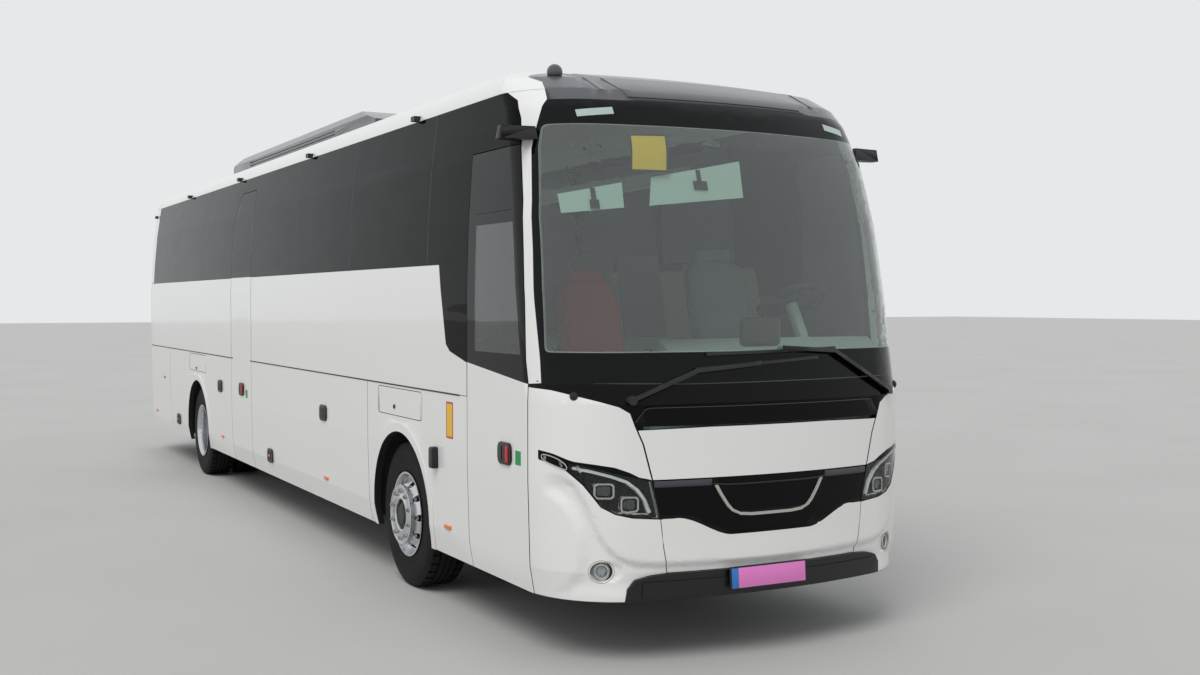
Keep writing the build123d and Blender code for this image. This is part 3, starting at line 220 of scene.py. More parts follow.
chassis_enamel = worked_surface("black_chassis_enamel", ("#1a1b1c", "#3a362f"), 0.4, 0.004, 0.0005, 0.5)
underseal = worked_surface("sprayed_underseal", ("#151515", "#292724"), 0.3, 0.009, 0.002, 0.85)
cast_iron = worked_surface("painted_engine_casting", ("#3b3d3e", "#4d4b46"), 0.3, 0.006, 0.001, 0.6)
bay_lining = worked_surface("ribbed_bay_lining", ("#5a5c5d", "#6b6c6b"), 0.3, 0.003, 0.0004, 0.6)
finish(("chassis_frame", "front_axle", "rear_axle", "knuckle_right", "knuckle_left"), chassis_enamel)
finish(("wheel_housings",), underseal)
finish(("engine_block",), cast_iron)
finish(("luggage_bay",), bay_lining)

# Floor and stairs.
# Plywood decks under a speckled anti-slip vinyl, which is matt and flecked with grey chips.
floor_vinyl = worked_surface("speckled_floor_vinyl", ("#6a6e72", "#8c9194"), 0.006, 0.002, 0.0002, 0.7)
finish(("floor_deck",), floor_vinyl)


# Painted body panels.
# Aluminium and glass-fibre panels sprayed in white two-pack paint under clear lacquer. The eye sees a
# sharp sky in the lacquer, a slight waviness over each panel, and a film of road dust low down.
def welded(node):
    """A copy of a CAD node's skin with its triangles joined, as a bmesh."""
    copy = bmesh.new()
    copy.from_mesh(frame["nodes"][node].data)
    bmesh.ops.remove_doubles(copy, verts=copy.verts, dist=0.0002)
    return copy


def body_of(node):
    """The body that a CAD node rides."""
    return frame["nodes"][node]["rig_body"]


def placed(name, work, body, *materials, smooth=None):
    """A finished bmesh as a piece with its materials and shading, which rides a body."""
    made = mesh_object(name, work)
    for material in materials:
        made.data.materials.append(material)
    if smooth is not None:
        made.data.polygons.foreach_set("use_smooth", [True] * len(made.data.polygons))
        made.data.set_sharp_from_angle(angle=math.radians(smooth))
    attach(made, body)
    return made


def dressed(node, *materials, smooth=25, work=None):
    """The welded copy of a node, or the work made from it, as a piece that stands for the node."""
    made = placed(node + "_skin", work or welded(node), body_of(node), *materials, smooth=smooth)
    even = made.modifiers.new("flat_faces_stay_flat", "WEIGHTED_NORMAL")
    even.weight = 100
    even.keep_sharp = True
    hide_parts(node)


def sprayed(tree, where, look):
    """Close a paint's tree: its look, over the slight waves of a sprayed panel."""
    wave = add_node(tree, "TexNoise", {"Vector": where.outputs["Object"], "Scale": 3.0, "Detail": 1.0})
    ripple = add_node(tree, "Bump", {"Height": wave.outputs["Fac"], "Strength": 0.05, "Distance": 0.02})
    surface(tree, add_node(tree, "BsdfPrincipled", {**look, "Normal": ripple.outputs["Normal"]}))


# White lacquer, with dust from a height down
dust_top, dust_full = 1.1, 0.3
white_lacquer, tree = blank_material("white_two_pack_lacquer")
where = add_node(tree, "TexCoord")
height = add_node(tree, "SeparateXYZ", {"Vector": where.outputs["Object"]})
fall = {"Value": height.outputs["Z"], "From Min": dust_top, "From Max": dust_full}
low = add_node(tree, "MapRange", fall)
cloud = add_node(tree, "TexNoise", {"Vector": where.outputs["Object"], "Scale": 1.1, "Detail": 1.0})
dust = add_node(tree, "Math", {0: low.outputs["Result"], 1: cloud.outputs["Fac"]}, operation="MULTIPLY")
film = add_node(tree, "Math", {0: dust.outputs[0], 1: 0.12}, operation="MULTIPLY")
blend = {"Factor": film.outputs[0], "A": srgb("#e9e8e4"), "B": srgb("#b9b2a4")}
colour = add_node(tree, "Mix", blend, data_type="RGBA")
gloss = add_node(tree, "MapRange", {"Value": dust.outputs[0], "To Min": 0.2, "To Max": 0.32})
look = {"Base Color": colour.outputs[2], "Roughness": gloss.outputs["Result"]}
sprayed(tree, where, {**look, "Coat Weight": 0.6, "Coat Roughness": 0.04})

# The curved line between white bumper and black grille: lowest, how far it climbs, from where to where
grille_foot_z, grille_climb, climb_from, climb_to, line_half = 0.706, 0.109, 0.26, 0.60, 0.0006
two_tone, tree = blank_material("white_and_gloss_black_lacquer")
where = add_node(tree, "TexCoord")
place = add_node(tree, "SeparateXYZ", {"Vector": where.outputs["Object"]})
out = add_node(tree, "Math", {0: place.outputs["Y"]}, operation="ABSOLUTE")
climb = {"Value": out.outputs[0], "From Min": climb_from, "From Max": climb_to}
climb |= {"To Min": grille_foot_z, "To Max": grille_foot_z + grille_climb}
line = add_node(tree, "MapRange", climb, interpolation_type="SMOOTHSTEP")
over = add_node(tree, "Math", {0: place.outputs["Z"], 1: line.outputs["Result"]}, operation="SUBTRACT")
edge = {"Value": over.outputs[0], "From Min": -line_half, "From Max": line_half}
black = add_node(tree, "MapRange", edge).outputs["Result"]
blend = {"Factor": black, "A": srgb("#e6e4df"), "B": srgb("#060607")}
colour = add_node(tree, "Mix", blend, data_type="RGBA")
gloss = add_node(tree, "MapRange", {"Value": black, "To Min": 0.22, "To Max": 0.09})
bend = add_node(tree, "MapRange", {"Value": black, "To Min": 1.5, "To Max": 1.25})
look = {"Base Color": colour.outputs[2], "Roughness": gloss.outputs["Result"], "IOR": bend.outputs["Result"]}
sprayed(tree, where, look)

# Black rubber for the real joints and seals, also painted on panel edges, gaps, grooves and pockets as their
# shade
seal_rubber_and_gap_shade = worked_surface("seal_rubber_and_painted_gap_shade", ("#0c0c0d", "#17171a"), 0.05, 0.002, 0.0001, 0.6)
inner_lining = worked_surface("moulded_grey_lining", ("#c3c7c4", "#cdd0cd"), 0.25, 0.0015, 0.0001, 0.7)

core_x, core_z, roof_edge_z = (-5.8, 5.2), (0.9, 2.9), 3.2
turned_share, flat_share = 0.75, 0.5


def sides_of(work):
    """The outward and the inward faces of a body panel."""
    outward, inward = [], []
    for face in work.faces:
        middle = face.calc_center_median()
        core = Vector((min(max(middle.x, core_x[0]), core_x[1]), 0, min(max(middle.z, core_z[0]), core_z[1])))
        turned_out = face.normal.dot((middle - core).normalized())
        on_roof = middle.z > roof_edge_z and abs(face.normal.z) > flat_share
        if turned_out > turned_share or (on_roof and face.normal.z > 0):
            outward.append(face)
        elif turned_out < -turned_share or (on_roof and face.normal.z < 0):
            inward.append(face)
    return outward, inward


tail_face_x, tail_edge_x, tail_half_y = -6.455, -6.3, 0.85
# Height and half width of the straight part of the lower sides
skirt_line = ((0.36, 1.236), (0.52, 1.263), (1.0, 1.276), (1.45, 1.276))


def sunk(place):
    """How far a point on a lower side or the tail lies inside the body's outer face."""
    if place.x < tail_edge_x and abs(place.y) < tail_half_y:
        return place.x - tail_face_x
    for (low_z, low_y), (top_z, top_y) in zip(skirt_line, skirt_line[1:]):
        if place.z <= top_z:
            share = (place.z - low_z) / (top_z - low_z)
            return low_y + (top_y - low_y) * share - abs(place.y)
    return 0.0


# How far in metres a point lies inside the outer face: flush with it, standing out as a lip, in a groove
flush, lip_out, groove = 0.002, -0.005, 0.004
under_grille_z, grille_half_y = 0.68, 0.69


def rim_of(work, faces, width, even=True):
    """Inset some faces as one region, and give the rim this makes."""
    return bmesh.ops.inset_region(
        work, faces=faces, thickness=width, use_boundary=True, use_even_offset=even
    )["faces"]


def panel(node, lip, relief):
    """A painted panel: paint outside, lining inside, and a dark lip of a width where it ends, which is
    painted shade for the gap.

    Where it has relief, what stands out is painted too, and grooves and pockets are painted dark as their
    shade."""
    work = welded(node)
    outward, inward = sides_of(work)
    # Edge faces get the dark rubber as painted shade in the gaps between panels, inner faces the lining
    for face in work.faces:
        face.material_index = 1
    for face in inward:
        face.material_index = 2
    if relief:
        for face in work.faces:
            deep = [sunk(vert.co) for vert in face.verts]
            if max(deep) < flush and min(deep) < lip_out:
                face.material_index = 0
        # What is sunk as deep as a groove stays dark, as painted shade in grooves and pockets
        outward = [face for face in outward if sunk(face.calc_center_median()) < groove]
    for face in outward:
        face.material_index = 0
    # The rim of the outer face is painted dark, as the shade of the gap to the next panel
    if not relief:
        for face in rim_of(work, outward, lip, even=node != "front_corners"):
            face.material_index = 1
    if node in ("front_corners", "bumper_center"):
        mould_nose(work)
    if node == "bumper_center":
        for face in nose_skin(work):
            spot = face.calc_center_median()
            if face.material_index < 2 and spot.z > under_grille_z and abs(spot.y) < grille_half_y:
                face.material_index = 3
    dressed(node, white_lacquer, seal_rubber_and_gap_shade, inner_lining, two_tone, work=work)


# The valley between the fender and the bumper: its edges from the lamp down, as distance out and height
bumper_crease = (
    *((1.152, 1.050), (1.123, 1.018), (1.065, 0.891), (1.014, 0.741), (0.972, 0.673), (0.929, 0.631)),
    *((0.877, 0.605), (0.822, 0.590), (0.709, 0.580), (0.413, 0.574), (0.0, 0.571)),
)
fender_crease = (
    *((1.259, 0.930), (1.227, 0.922), (1.196, 0.893), (1.165, 0.835), (1.141, 0.762), (1.129, 0.694)),
    *((1.128, 0.611), (1.144, 0.526), (1.169, 0.449), (1.197, 0.404), (1.215, 0.340)),
)
valley_depth, bumper_reach, fender_reach = 0.021, 0.042, 0.065
# Where the valley runs out, each with its reach: over the skirt's lip, towards the door, under the lamp
lip_end, door_end, lamp_end = (0.36, 0.12), (1.19, 0.07), (1.09, 0.10)
# The white recess round each fog lamp: middle, half width and half height, depth, share that is its rim
recess_y, recess_z, recess_half, recess_depth, recess_rim = 0.985, 0.527, (0.085, 0.062), 0.012, 0.35
corner_radius, corner_middle = 0.55, Vector((5.817, 0.726, 0))
nose_radius, corner_start_y = 3.6, 0.857


def past_run(y, z, run):
    """The distance from a point to a run of points, positive to its left."""
    spot = Vector((y, z))
    best = None
    for start, end in zip(run, run[1:]):
        a, b = Vector(start), Vector(end)
        share = min(max((spot - a).dot(b - a) / (b - a).length_squared, 0.0), 1.0)
        gap = spot - a.lerp(b, share)
        if best is None or gap.length < abs(best):
            best = math.copysign(gap.length, (b - a).x * gap.y - (b - a).y * gap.x)
    return best


def eased(value, reach):
    """From 0 to 1 over a reach, starting and ending gently."""
    share = min(max(value / reach, 0.0), 1.0)
    return share * share * (3 - 2 * share)


def valley(y, z):
    """How far the nose is sunk at a distance out and a height."""
    y = abs(y)
    inside = eased(past_run(y, z, bumper_crease), bumper_reach)
    inside *= eased(-past_run(y, z, fender_crease), fender_reach)
    inside *= eased(z - lip_end[0], lip_end[1]) * eased(lamp_end[0] - z, lamp_end[1])
    inside *= 1 - eased(y - door_end[0], door_end[1])
    recess = math.hypot((y - recess_y) / recess_half[0], (z - recess_z) / recess_half[1])
    return valley_depth * inside + recess_depth * eased(1.0 - recess, recess_rim)


def nose_facing(y):
    """Which way the nose faces at a distance out."""
    share = abs(y) / nose_radius if abs(y) < corner_start_y else (abs(y) - corner_middle.y) / corner_radius
    share = min(share, 1.0)
    return Vector((math.sqrt(1 - share * share), math.copysign(share, y), 0))


def nose_skin(work):
    """The faces of a nose panel that face ahead."""
    facing_ahead = 0.7
    return [
        face
        for face in work.faces
        if face.normal.dot(nose_facing(face.calc_center_median().y)) > facing_ahead
    ]


def sliced(work, faces, place, facing):
    """Cut some faces along a plane, so that edges run there."""
    edges = {edge for face in faces for edge in face.edges}
    verts = {vert for face in faces for vert in face.verts}
    bmesh.ops.bisect_plane(
        work, geom=[*faces, *edges, *verts], dist=0.00005, plane_co=place, plane_no=facing
    )


# The slices of the nose: level ones from a height up, upright ones either way, and ones round the corners
level_from_z, level_step, level_count = 0.38, 0.015, 47
upright_step, upright_count = 0.03, 28
turn_from, turn_step, turn_count = 14, 3, 26


def mould_nose(work):
    """Slice the outer skin of a nose panel finely and sink its valley."""
    cuts = [((0, 0, level_from_z + level_step * step), (0, 0, 1)) for step in range(level_count)]
    for side in (-1, 1):
        for step in range(turn_count):
            turn = math.radians(turn_from + turn_step * step)
            facing = (-math.sin(turn), side * math.cos(turn), 0)
            cuts.append(((corner_middle.x, side * corner_middle.y, 0), facing))
    for step in range(-upright_count, upright_count + 1):
        cuts.append(((0, upright_step * step, 0), (0, 1, 0)))
    for place, facing in cuts:
        sliced(work, nose_skin(work), place, facing)
    for vert in {vert for face in nose_skin(work) for vert in face.verts}:
        vert.co -= nose_facing(vert.co.y) * valley(vert.co.y, vert.co.z)


# Panel, the width of its dark lip of painted gap shade in metres, and whether it has grooves, pockets or lips
painted_panels = (
    ("front_pillars", 0.002, False),
    ("front_corners", 0.0025, False),
    ("front_flap", 0.001, False),
    ("bumper_center", 0.0025, False),
    ("side_wall_right", 0.004, False),
    ("side_wall_left", 0.004, False),
    ("lower_side_right", 0.004, True),
    ("lower_side_left", 0.004, True),
    ("roof_panel", 0.002, False),
    ("rear_wall", 0.002, False),
    ("engine_door", 0.001, True),
    ("rear_bumper", 0.002, False),
    ("front_door", 0.001, True),
    ("mid_door", 0.001, True),
    ("luggage_door_right", 0.003, True),
    ("luggage_door_left", 0.003, True),
)
for node, lip, relief in painted_panels:
    panel(node, lip, relief)


# Side windows.
# Flush panes of dark privacy glass bonded over a black frame, with a grey silicone joint between panes.
# Each pane is slightly wavy from toughening, so the sky in it ripples.
def lit_through(tree, glass, tint, share=None):
    """Close a glass's tree: lamp rays and daylight pass through it, or a share of it, in a tint."""
    rays = add_node(tree, "LightPath").outputs
    kinds = {0: rays["Is Shadow Ray"], 1: rays["Is Diffuse Ray"]}
    passed = add_node(tree, "Math", kinds, operation="MAXIMUM")
    if share is not None:
        passed = add_node(tree, "Math", {0: passed.outputs[0], 1: share}, operation="MULTIPLY")
    clear = add_node(tree, "BsdfTransparent", {"Color": srgb(tint)})
    both = add_node(tree, "MixShader", {0: passed.outputs[0], 1: glass.outputs[0], 2: clear.outputs[0]})
    surface(tree, both)


side_glass, tree = blank_material("dark_privacy_glass")
where = add_node(tree, "TexCoord")
stretch = add_node(tree, "Mapping", {"Vector": where.outputs["Object"], "Scale": (0.5, 0.5, 2.2)})
roll = add_node(tree, "TexNoise", {"Vector": stretch.outputs["Vector"], "Scale": 2.4, "Detail": 1.0})
wavy = add_node(tree, "Bump", {"Height": roll.outputs["Fac"], "Strength": 1.0, "Distance": 0.004})
look = {"Base Color": srgb("#1c1f20"), "Roughness": 0.0, "IOR": 1.14, "Transmission Weight": 1.0}
glass = add_node(tree, "BsdfPrincipled", {**look, "Normal": wavy.outputs["Normal"]})
lit_through(tree, glass, "#e0e5e3")
for node in ("side_glass_right", "side_glass_left", "mid_door_glass", "rear_window"):
    dressed(node, side_glass)
satin_frame = worked_surface("black_powder_coat", ("#101112", "#17181a"), 0.3, 0.002, 0.0001, 0.45)
finish(("window_frame_right", "window_frame_left", "front_door_arm", "mid_door_arm"), satin_frame)


def hull_of(*nodes):
    """The skins of some CAD nodes as one tree that rays can be cast at."""
    gathered = bmesh.new()
    for node in nodes:
        gathered.from_mesh(frame["nodes"][node].data)
    made = BVHTree.FromBMesh(gathered)
    gathered.free()
    return made


side_skins = hull_of(
    *("side_glass_right", "side_glass_left", "mid_door_glass", "front_door_glass"),
    *("side_wall_right", "side_wall_left", "lower_side_right", "lower_side_left"),
    *("luggage_door_right", "luggage_door_left", "front_door", "mid_door"),
    *("roof_panel", "front_pillars", "rear_wall", "rear_bumper", "front_corners"),
)
nose_skins = hull_of(
    *("front_corners", "front_flap", "bumper_center", "bumper_lip"),
    *("grille_panel", "wiper_panel", "windshield", "front_pillars", "roof_cap"),
)


# Where rays at the side and at the nose start, clear of the coach
beside_y, before_x = 3, 8


def on_side(x, z, side, lift=0.0):
    """A point on the side of the coach, lifted off it."""
    hit, normal = side_skins.ray_cast(Vector((x, beside_y * side, z)), Vector((0, -side, 0)))[:2]
    return hit + normal * lift


def on_nose(y, z, lift=0.0):
    """A point on the front of the coach, lifted off it."""
    hit, normal = nose_skins.ray_cast(Vector((before_x, y, z)), Vector((-1, 0, 0)))[:2]
    return hit + normal * lift


def bar(work, points, radius, closed=False, smooth=True):
    """A round bar along a run of points, added to the work."""
    curve = bpy.data.curves.new("run", "CURVE")
    curve.dimensions = "3D"
    curve.bevel_depth = radius
    curve.bevel_resolution = 2
    curve.resolution_u = 6
    curve.use_fill_caps = True
    run = curve.splines.new("NURBS" if smooth else "POLY")
    run.points.add(len(points) - 1)
    for knot, place in zip(run.points, points):
        knot.co = (*place, 1)
    run.use_cyclic_u = closed
    if smooth:
        run.order_u = 3
        run.use_endpoint_u = not closed
    holder = bpy.data.objects.new("run", curve)
    mesh = bpy.data.meshes.new_from_object(holder)
    work.from_mesh(mesh)
    bpy.data.objects.remove(holder)
    bpy.data.curves.remove(curve)
    bpy.data.meshes.remove(mesh)


def spread(start, end, count):
    """Points spread evenly between two ends, both included."""
    a, b = Vector(start), Vector(end)
    return [tuple(a.lerp(b, step / count)) for step in range(count + 1)]


# Pane joints: x, side and lower end
silicone = worked_surface("grey_silicone_joint", ("#55585b", "#66696c"), 0.1, 0.001, 0.0001, 0.4)
pane_foot_z, pane_top_z = 2.27, 3.25
joint_probe, joint_inset, joint_radius = 0.012, 0.002, 0.0028
pane_joints = [(x, -1, pane_foot_z) for x in (-4.417, -2.947, 1.002, 2.582, 4.29)]
pane_joints += [(x, 1, pane_foot_z) for x in (-4.417, -2.902, -1.387, 0.127, 1.642, 3.112, 4.29)]
pane_joints += [(4.96, 1, 1.72)]
work = bmesh.new()
for x, side, low_z in pane_joints:
    run = []
    for x, z in spread((x, low_z), (x, pane_top_z), 8):
        run.append((x, on_side(x + joint_probe, z, side).y - side * joint_inset, z))
    bar(work, run, joint_radius, smooth=False)
placed("pane_joints", work, "coach_body", silicone, smooth=60)

# Waist joint.
# The black rubber in the joint between the side walls and the skirts, from the tail to the front door.
waist_y, waist_z, waist_radius = 1.2745, 1.425, 0.0052
work = bmesh.new()
for side, start_x, end_x in ((-1, -6.2, -1.39), (-1, -0.63, 4.87), (1, -6.2, 5.86)):
    run = spread((start_x, side * waist_y, waist_z), (end_x, side * waist_y, waist_z), 24)
    bar(work, run, waist_radius, smooth=False)
placed("waist_joint_rubber", work, "coach_body", seal_rubber_and_gap_shade, smooth=60)


# Handles, side markers and locks.
# Moulded black escutcheons round each pull, screwed from inside; the doors' carry a red bar, the low ones
# an orange tab. Side markers are orange acrylic, and the locks are black plugs.
handle_black = worked_surface("black_grained_nylon", ("#0c0c0d", "#161617"), 0.05, 0.002, 0.0001, 0.35)
handle_red = worked_surface("red_moulded_nylon", ("#b3161b", "#c01c20"), 0.05, 0.002, 0.0001, 0.3)
marker_orange = worked_surface(
    "orange_marker_acrylic", ("#e2660f", "#ee7a1c"), 0.01, 0.003, 0.0003, 0.15, coat=0.5
)


def block(work, middle, size, turn=Matrix.Identity(4)):
    """A plain block to work on, turned about its middle; gives its corners."""
    shape = Matrix.Translation(middle) @ turn @ Matrix.Diagonal((*size, 1))
    return bmesh.ops.create_cube(work, size=1, matrix=shape)["verts"]


def edges_at(verts):
    """The edges that meet some vertices."""
    return list({edge for vert in verts for edge in vert.link_edges})


def rounded(work, edges, radius, segments):
    """Round some edges over, and give the vertices this makes."""
    return bmesh.ops.bevel(
        work, geom=edges, offset=radius, segments=segments, profile=0.5, affect="EDGES", material=-1
    )["verts"]


def rounded_block(work, middle, size, corner, edge):
    """A block standing on a side of the coach: its four upright corners rounded, then its outer edge."""
    posts = [
        line
        for line in edges_at(block(work, middle, size))
        if abs(line.verts[0].co.y - line.verts[1].co.y) > size[1] * 0.9
    ]
    faces = {face for vert in rounded(work, posts, corner, 6) for face in vert.link_faces}
    side = math.copysign(1, middle[1])
    cap = max(faces, key=lambda face: face.normal.y * side)
    rounded(work, list(cap.edges), edge, 3)


def plug(work, place, side, foot, head, tall, sides):
    """A round or many-sided plug that stands out of one side of the coach."""
    stand = Matrix.Translation(place) @ Matrix.Rotation(math.radians(-90 * side), 4, "X")
    bmesh.ops.create_cone(
        work, cap_ends=True, segments=sides, radius1=foot, radius2=head, depth=tall, matrix=stand
    )


handle_width, handle_height, handle_corner, handle_stand = 0.185, 0.132, 0.042, 0.016
slot_size, slot_shift = (0.004, 0.004, 0.084), 0.030
# What a handle carries: its shift along the coach, its size, and its finish
carried = {
    "red": (0.052, (0.036, 0.010, 0.096), handle_red),
    "orange": (0.0, (0.040, 0.008, 0.022), marker_orange),
}
# Name, the node whose body it rides, side, x, z, and what it carries
handles = [
    ("front_door_handle", "front_door", -1, 5.576, 1.130, "red"),
    ("mid_door_handle", "mid_door", -1, -0.990, 1.122, "red"),
]
for hand, side in (("right", -1), ("left", 1)):
    handles += [
        ("bay_handle_" + hand, "luggage_door_" + hand, side, 1.896, 1.095, None),
        ("bay_low_handle_" + hand, "luggage_door_" + hand, side, 0.110, 0.556, "orange"),
        ("service_handle_" + hand, "lower_side_" + hand, side, -1.980, 1.100, None),
        ("service_low_handle_" + hand, "lower_side_" + hand, side, -4.380, 0.556, "orange"),
    ]
for name, node, side, x, z, extra in handles:
    face_y = abs(on_side(x + 0.08, z, side).y)
    middle = (x, side * (face_y + handle_stand / 2 - 0.002), z)
    work = bmesh.new()
    rounded_block(work, middle, (handle_width, handle_stand, handle_height), handle_corner, 0.005)
    for shift in (-slot_shift, slot_shift):
        block(work, (x + shift, side * (face_y + handle_stand - 0.001), z), slot_size)
    placed(name, work, body_of(node), handle_black, smooth=30)
    if extra:
        shift, size, tint = carried[extra]
        work = bmesh.new()
        rounded_block(work, (x + shift, side * (face_y + handle_stand), z), size, 0.008, 0.003)
        placed(name + "_" + extra, work, body_of(node), tint, smooth=30)

# Side markers, on both sides; the third along rides a luggage door
marker_z, marker_size = 0.555, (0.105, 0.014, 0.026)
for hand, side in (("right", -1), ("left", 1)):
    for index, x in enumerate((-5.90, -1.93, 1.93, 4.64)):
        node = ("luggage_door_" if index == 2 else "lower_side_") + hand
        work = bmesh.new()
        face_y = abs(on_side(x, marker_z, side).y)
        rounded_block(work, (x, side * (face_y + 0.004), marker_z), marker_size, 0.006, 0.003)
        placed(f"side_marker_{hand}_{index + 1}", work, body_of(node), marker_orange, smooth=30)

# Locks of the service flaps
work = bmesh.new()
for side in (-1, 1):
    for x, z in ((3.645, 1.269), (-3.25, 1.238), (-5.266, 1.031)):
        face_y = abs(on_side(x, z, side).y)
        plug(work, (x, side * (face_y + 0.002), z), side, 0.017, 0.015, 0.010, 24)
placed("flap_locks", work, "coach_body", handle_black, smooth=30)

# Bare stickers on the kerb side: one in a red border over the front arch, and small green ones by the doors
sticker_red = worked_surface("red_vinyl_film", ("#c22127", "#cb2a2f"), 0.1, 0.01, 0.00002, 0.4)
sticker_yellow = worked_surface("yellow_vinyl_film", ("#e3b51d", "#ebbd26"), 0.1, 0.01, 0.00002, 0.4)
sticker_green = worked_surface("green_vinyl_film", ("#0f8a4b", "#149352"), 0.1, 0.01, 0.00002, 0.4)
# Name, the node whose body it rides, x, z, size, width of its border, and its films
stickers = (
    ("arch_sticker", "lower_side_right", 4.700, 1.255, (0.115, 0.235), 0.012, (sticker_red, sticker_yellow)),
    ("front_door_sticker", "front_door", 5.752, 1.120, (0.075, 0.082), 0.0, (sticker_green,)),
    ("mid_door_sticker", "mid_door", -0.790, 1.085, (0.075, 0.082), 0.0, (sticker_green,)),
)
for name, node, x, z, size, border, films in stickers:
    work = bmesh.new()
    flat = Matrix.Rotation(math.radians(90), 4, "X") @ Matrix.Diagonal((*size, 1, 1))
    stand = Matrix.Translation((x, on_side(x, z, -1).y - 0.0012, z)) @ flat
    bmesh.ops.create_grid(work, x_segments=1, y_segments=1, size=0.5, matrix=stand)
    if border:
        rim = rim_of(work, list(work.faces), border)
        for face in work.faces:
            face.material_index = 0 if face in rim else 1
    bmesh.ops.solidify(work, geom=list(work.faces), thickness=0.0015)
    placed(name, work, body_of(node), *films)


# Front door glass.
# One clear pane in a fired black border, bonded flush to the door. The border is opaque gloss black and fades
# into the clear pane round the driver's view of the kerb.
def bordered_glass(name, border, glass, wave_height, edges, rounding, fade):
    """Glass that is clear inside its edges, rounded where two meet, and fired black round them.

    An edge: the axis that crosses it, the axis it runs along, its height or place there that counts as
    nought, where it lies there, its lean, its curl, and -1 where the clear part lies before it."""
    material, tree = blank_material(name)
    where = add_node(tree, "TexCoord").outputs["Object"]
    place = add_node(tree, "SeparateXYZ", {"Vector": where}).outputs
    least = None
    for crossing, along, nought, start, lean, curl, sign in edges:
        run = add_node(tree, "Math", {0: place[along], 1: nought}, operation="SUBTRACT").outputs[0]
        square = add_node(tree, "Math", {0: run, 1: run}, operation="MULTIPLY").outputs[0]
        bent = add_node(tree, "Math", {0: square, 1: curl, 2: start}, operation="MULTIPLY_ADD").outputs[0]
        edge_at = add_node(tree, "Math", {0: run, 1: lean, 2: bent}, operation="MULTIPLY_ADD").outputs[0]
        far = add_node(tree, "Math", {0: place[crossing], 1: edge_at}, operation="SUBTRACT").outputs[0]
        inside = add_node(tree, "Math", {0: far, 1: sign}, operation="MULTIPLY").outputs[0]
        if least is None:
            least = inside
            continue
        pair = {0: least, 1: inside, 2: rounding}
        least = add_node(tree, "Math", pair, operation="SMOOTH_MIN").outputs[0]
    fading = {"Value": least, "From Min": fade[0], "From Max": fade[1]}
    share = add_node(tree, "MapRange", fading).outputs["Result"]
    tint = add_node(tree, "Mix", {"Factor": share, "A": srgb(border), "B": srgb(glass)}, data_type="RGBA")
    bend = add_node(tree, "MapRange", {"Value": share, "To Min": 1.28, "To Max": 1.7})
    roll = add_node(tree, "TexNoise", {"Vector": where, "Scale": 1.6, "Detail": 1.0})
    wavy = add_node(tree, "Bump", {"Height": roll.outputs["Fac"], "Strength": 1.0, "Distance": wave_height})
    look = {
        "Base Color": tint.outputs[2],
        "Roughness": 0.02,
        "IOR": bend.outputs["Result"],
        "Transmission Weight": share,
        "Normal": wavy.outputs["Normal"],
    }
    lit_through(tree, add_node(tree, "BsdfPrincipled", look), glass, share)
    return material


door_edges = (
    ("Z", "X", 0.0, 1.715, 0.0, 0.0, 1),
    ("Z", "X", 0.0, 2.48, 0.0, 0.0, -1),
    ("X", "Z", 0.0, 5.12, 0.0, 0.0, 1),
    ("X", "Z", 0.0, 6.06, -0.163, 0.0, -1),
)
door_glass = bordered_glass(
    "front_door_safety_glass", "#050607", "#8c9a95", 0.002, door_edges, 0.01, (-0.001, 0.002)
)
dressed("front_door_glass", door_glass)
work = bmesh.new()
bar(work, [on_side(x, 2.552, -1, 0.0005) for x in (5.10, 5.25, 5.40, 5.55, 5.62)], 0.0025)
placed("front_door_glass_joint", work, body_of("front_door_glass"), seal_rubber_and_gap_shade, smooth=60)

# Windscreen.
# One bent pane of laminated glass in a fired black border, clear in the middle with a faint green
# tint, glued over the front ring of the body. Its border shows dark and glossy from outside.
screen_edges = (
    ("Z", "X", 0.0, 1.735, 0.0, 0.0, 1),
    ("Z", "X", 0.0, 3.035, 0.0, 0.0, -1),
    ("X", "Z", 1.69, 5.999, -0.097, -0.0655, 1),
)
screen_glass = bordered_glass(
    "laminated_green_glass", "#060708", "#dfeae5", 0.0004, screen_edges, 0.05, (-0.002, 0.006)
)
dressed("windshield", screen_glass)

# Black front panels and grille.
# Moulded acrylic-capped ABS, gloss black, snapped on below the windscreen and between the lamps. It
# mirrors the road and sky sharply and shows a thin step where the service flap ends.
gloss_black = worked_surface(
    "gloss_black_capped_abs", ("#050506", "#08080a"), 0.5, 0.3, 0.0004, 0.09, ior=1.25
)
satin_black = worked_surface("satin_black_moulded_abs", ("#0d0e0f", "#141516"), 0.3, 0.002, 0.0001, 0.38)
grey_satin = worked_surface("satin_grey_painted_abs", ("#34363a", "#3d3f44"), 0.3, 0.002, 0.0001, 0.35)
chrome = worked_surface("bright_chrome_on_abs", ("#c9c6c0", "#d5d2cc"), 0.4, 0.05, 0.0002, 0.1, metallic=1.0)
dressed("wiper_panel", gloss_black)

# Bright trim along the grille, as distance out and height, its half width, and the grey strip over it
grille_trim = (
    *((0.367, 0.990), (0.332, 0.930), (0.292, 0.872), (0.263, 0.842), (0.214, 0.820)),
    *((0.138, 0.813), (0, 0.813)),
)
trim_half, strip_y, strip_z = 0.009, (0.394, 0.736), (0.989, 1.027)
two_tone_top = 0.84
work = welded("grille_panel")
sliced(work, list(work.faces), (0, 0, two_tone_top), (0, 0, 1))
for face in work.faces:
    spot = face.calc_center_median()
    from_trim = [abs(past_run(abs(vert.co.y), vert.co.z, grille_trim)) for vert in face.verts]
    if strip_y[0] < abs(spot.y) < strip_y[1] and strip_z[0] < spot.z < strip_z[1]:
        face.material_index = 1
    elif max(from_trim) < trim_half:
        face.material_index = 2
    elif spot.z < two_tone_top:
        face.material_index = 3
dressed("grille_panel", gloss_black, grey_satin, chrome, two_tone, work=work)

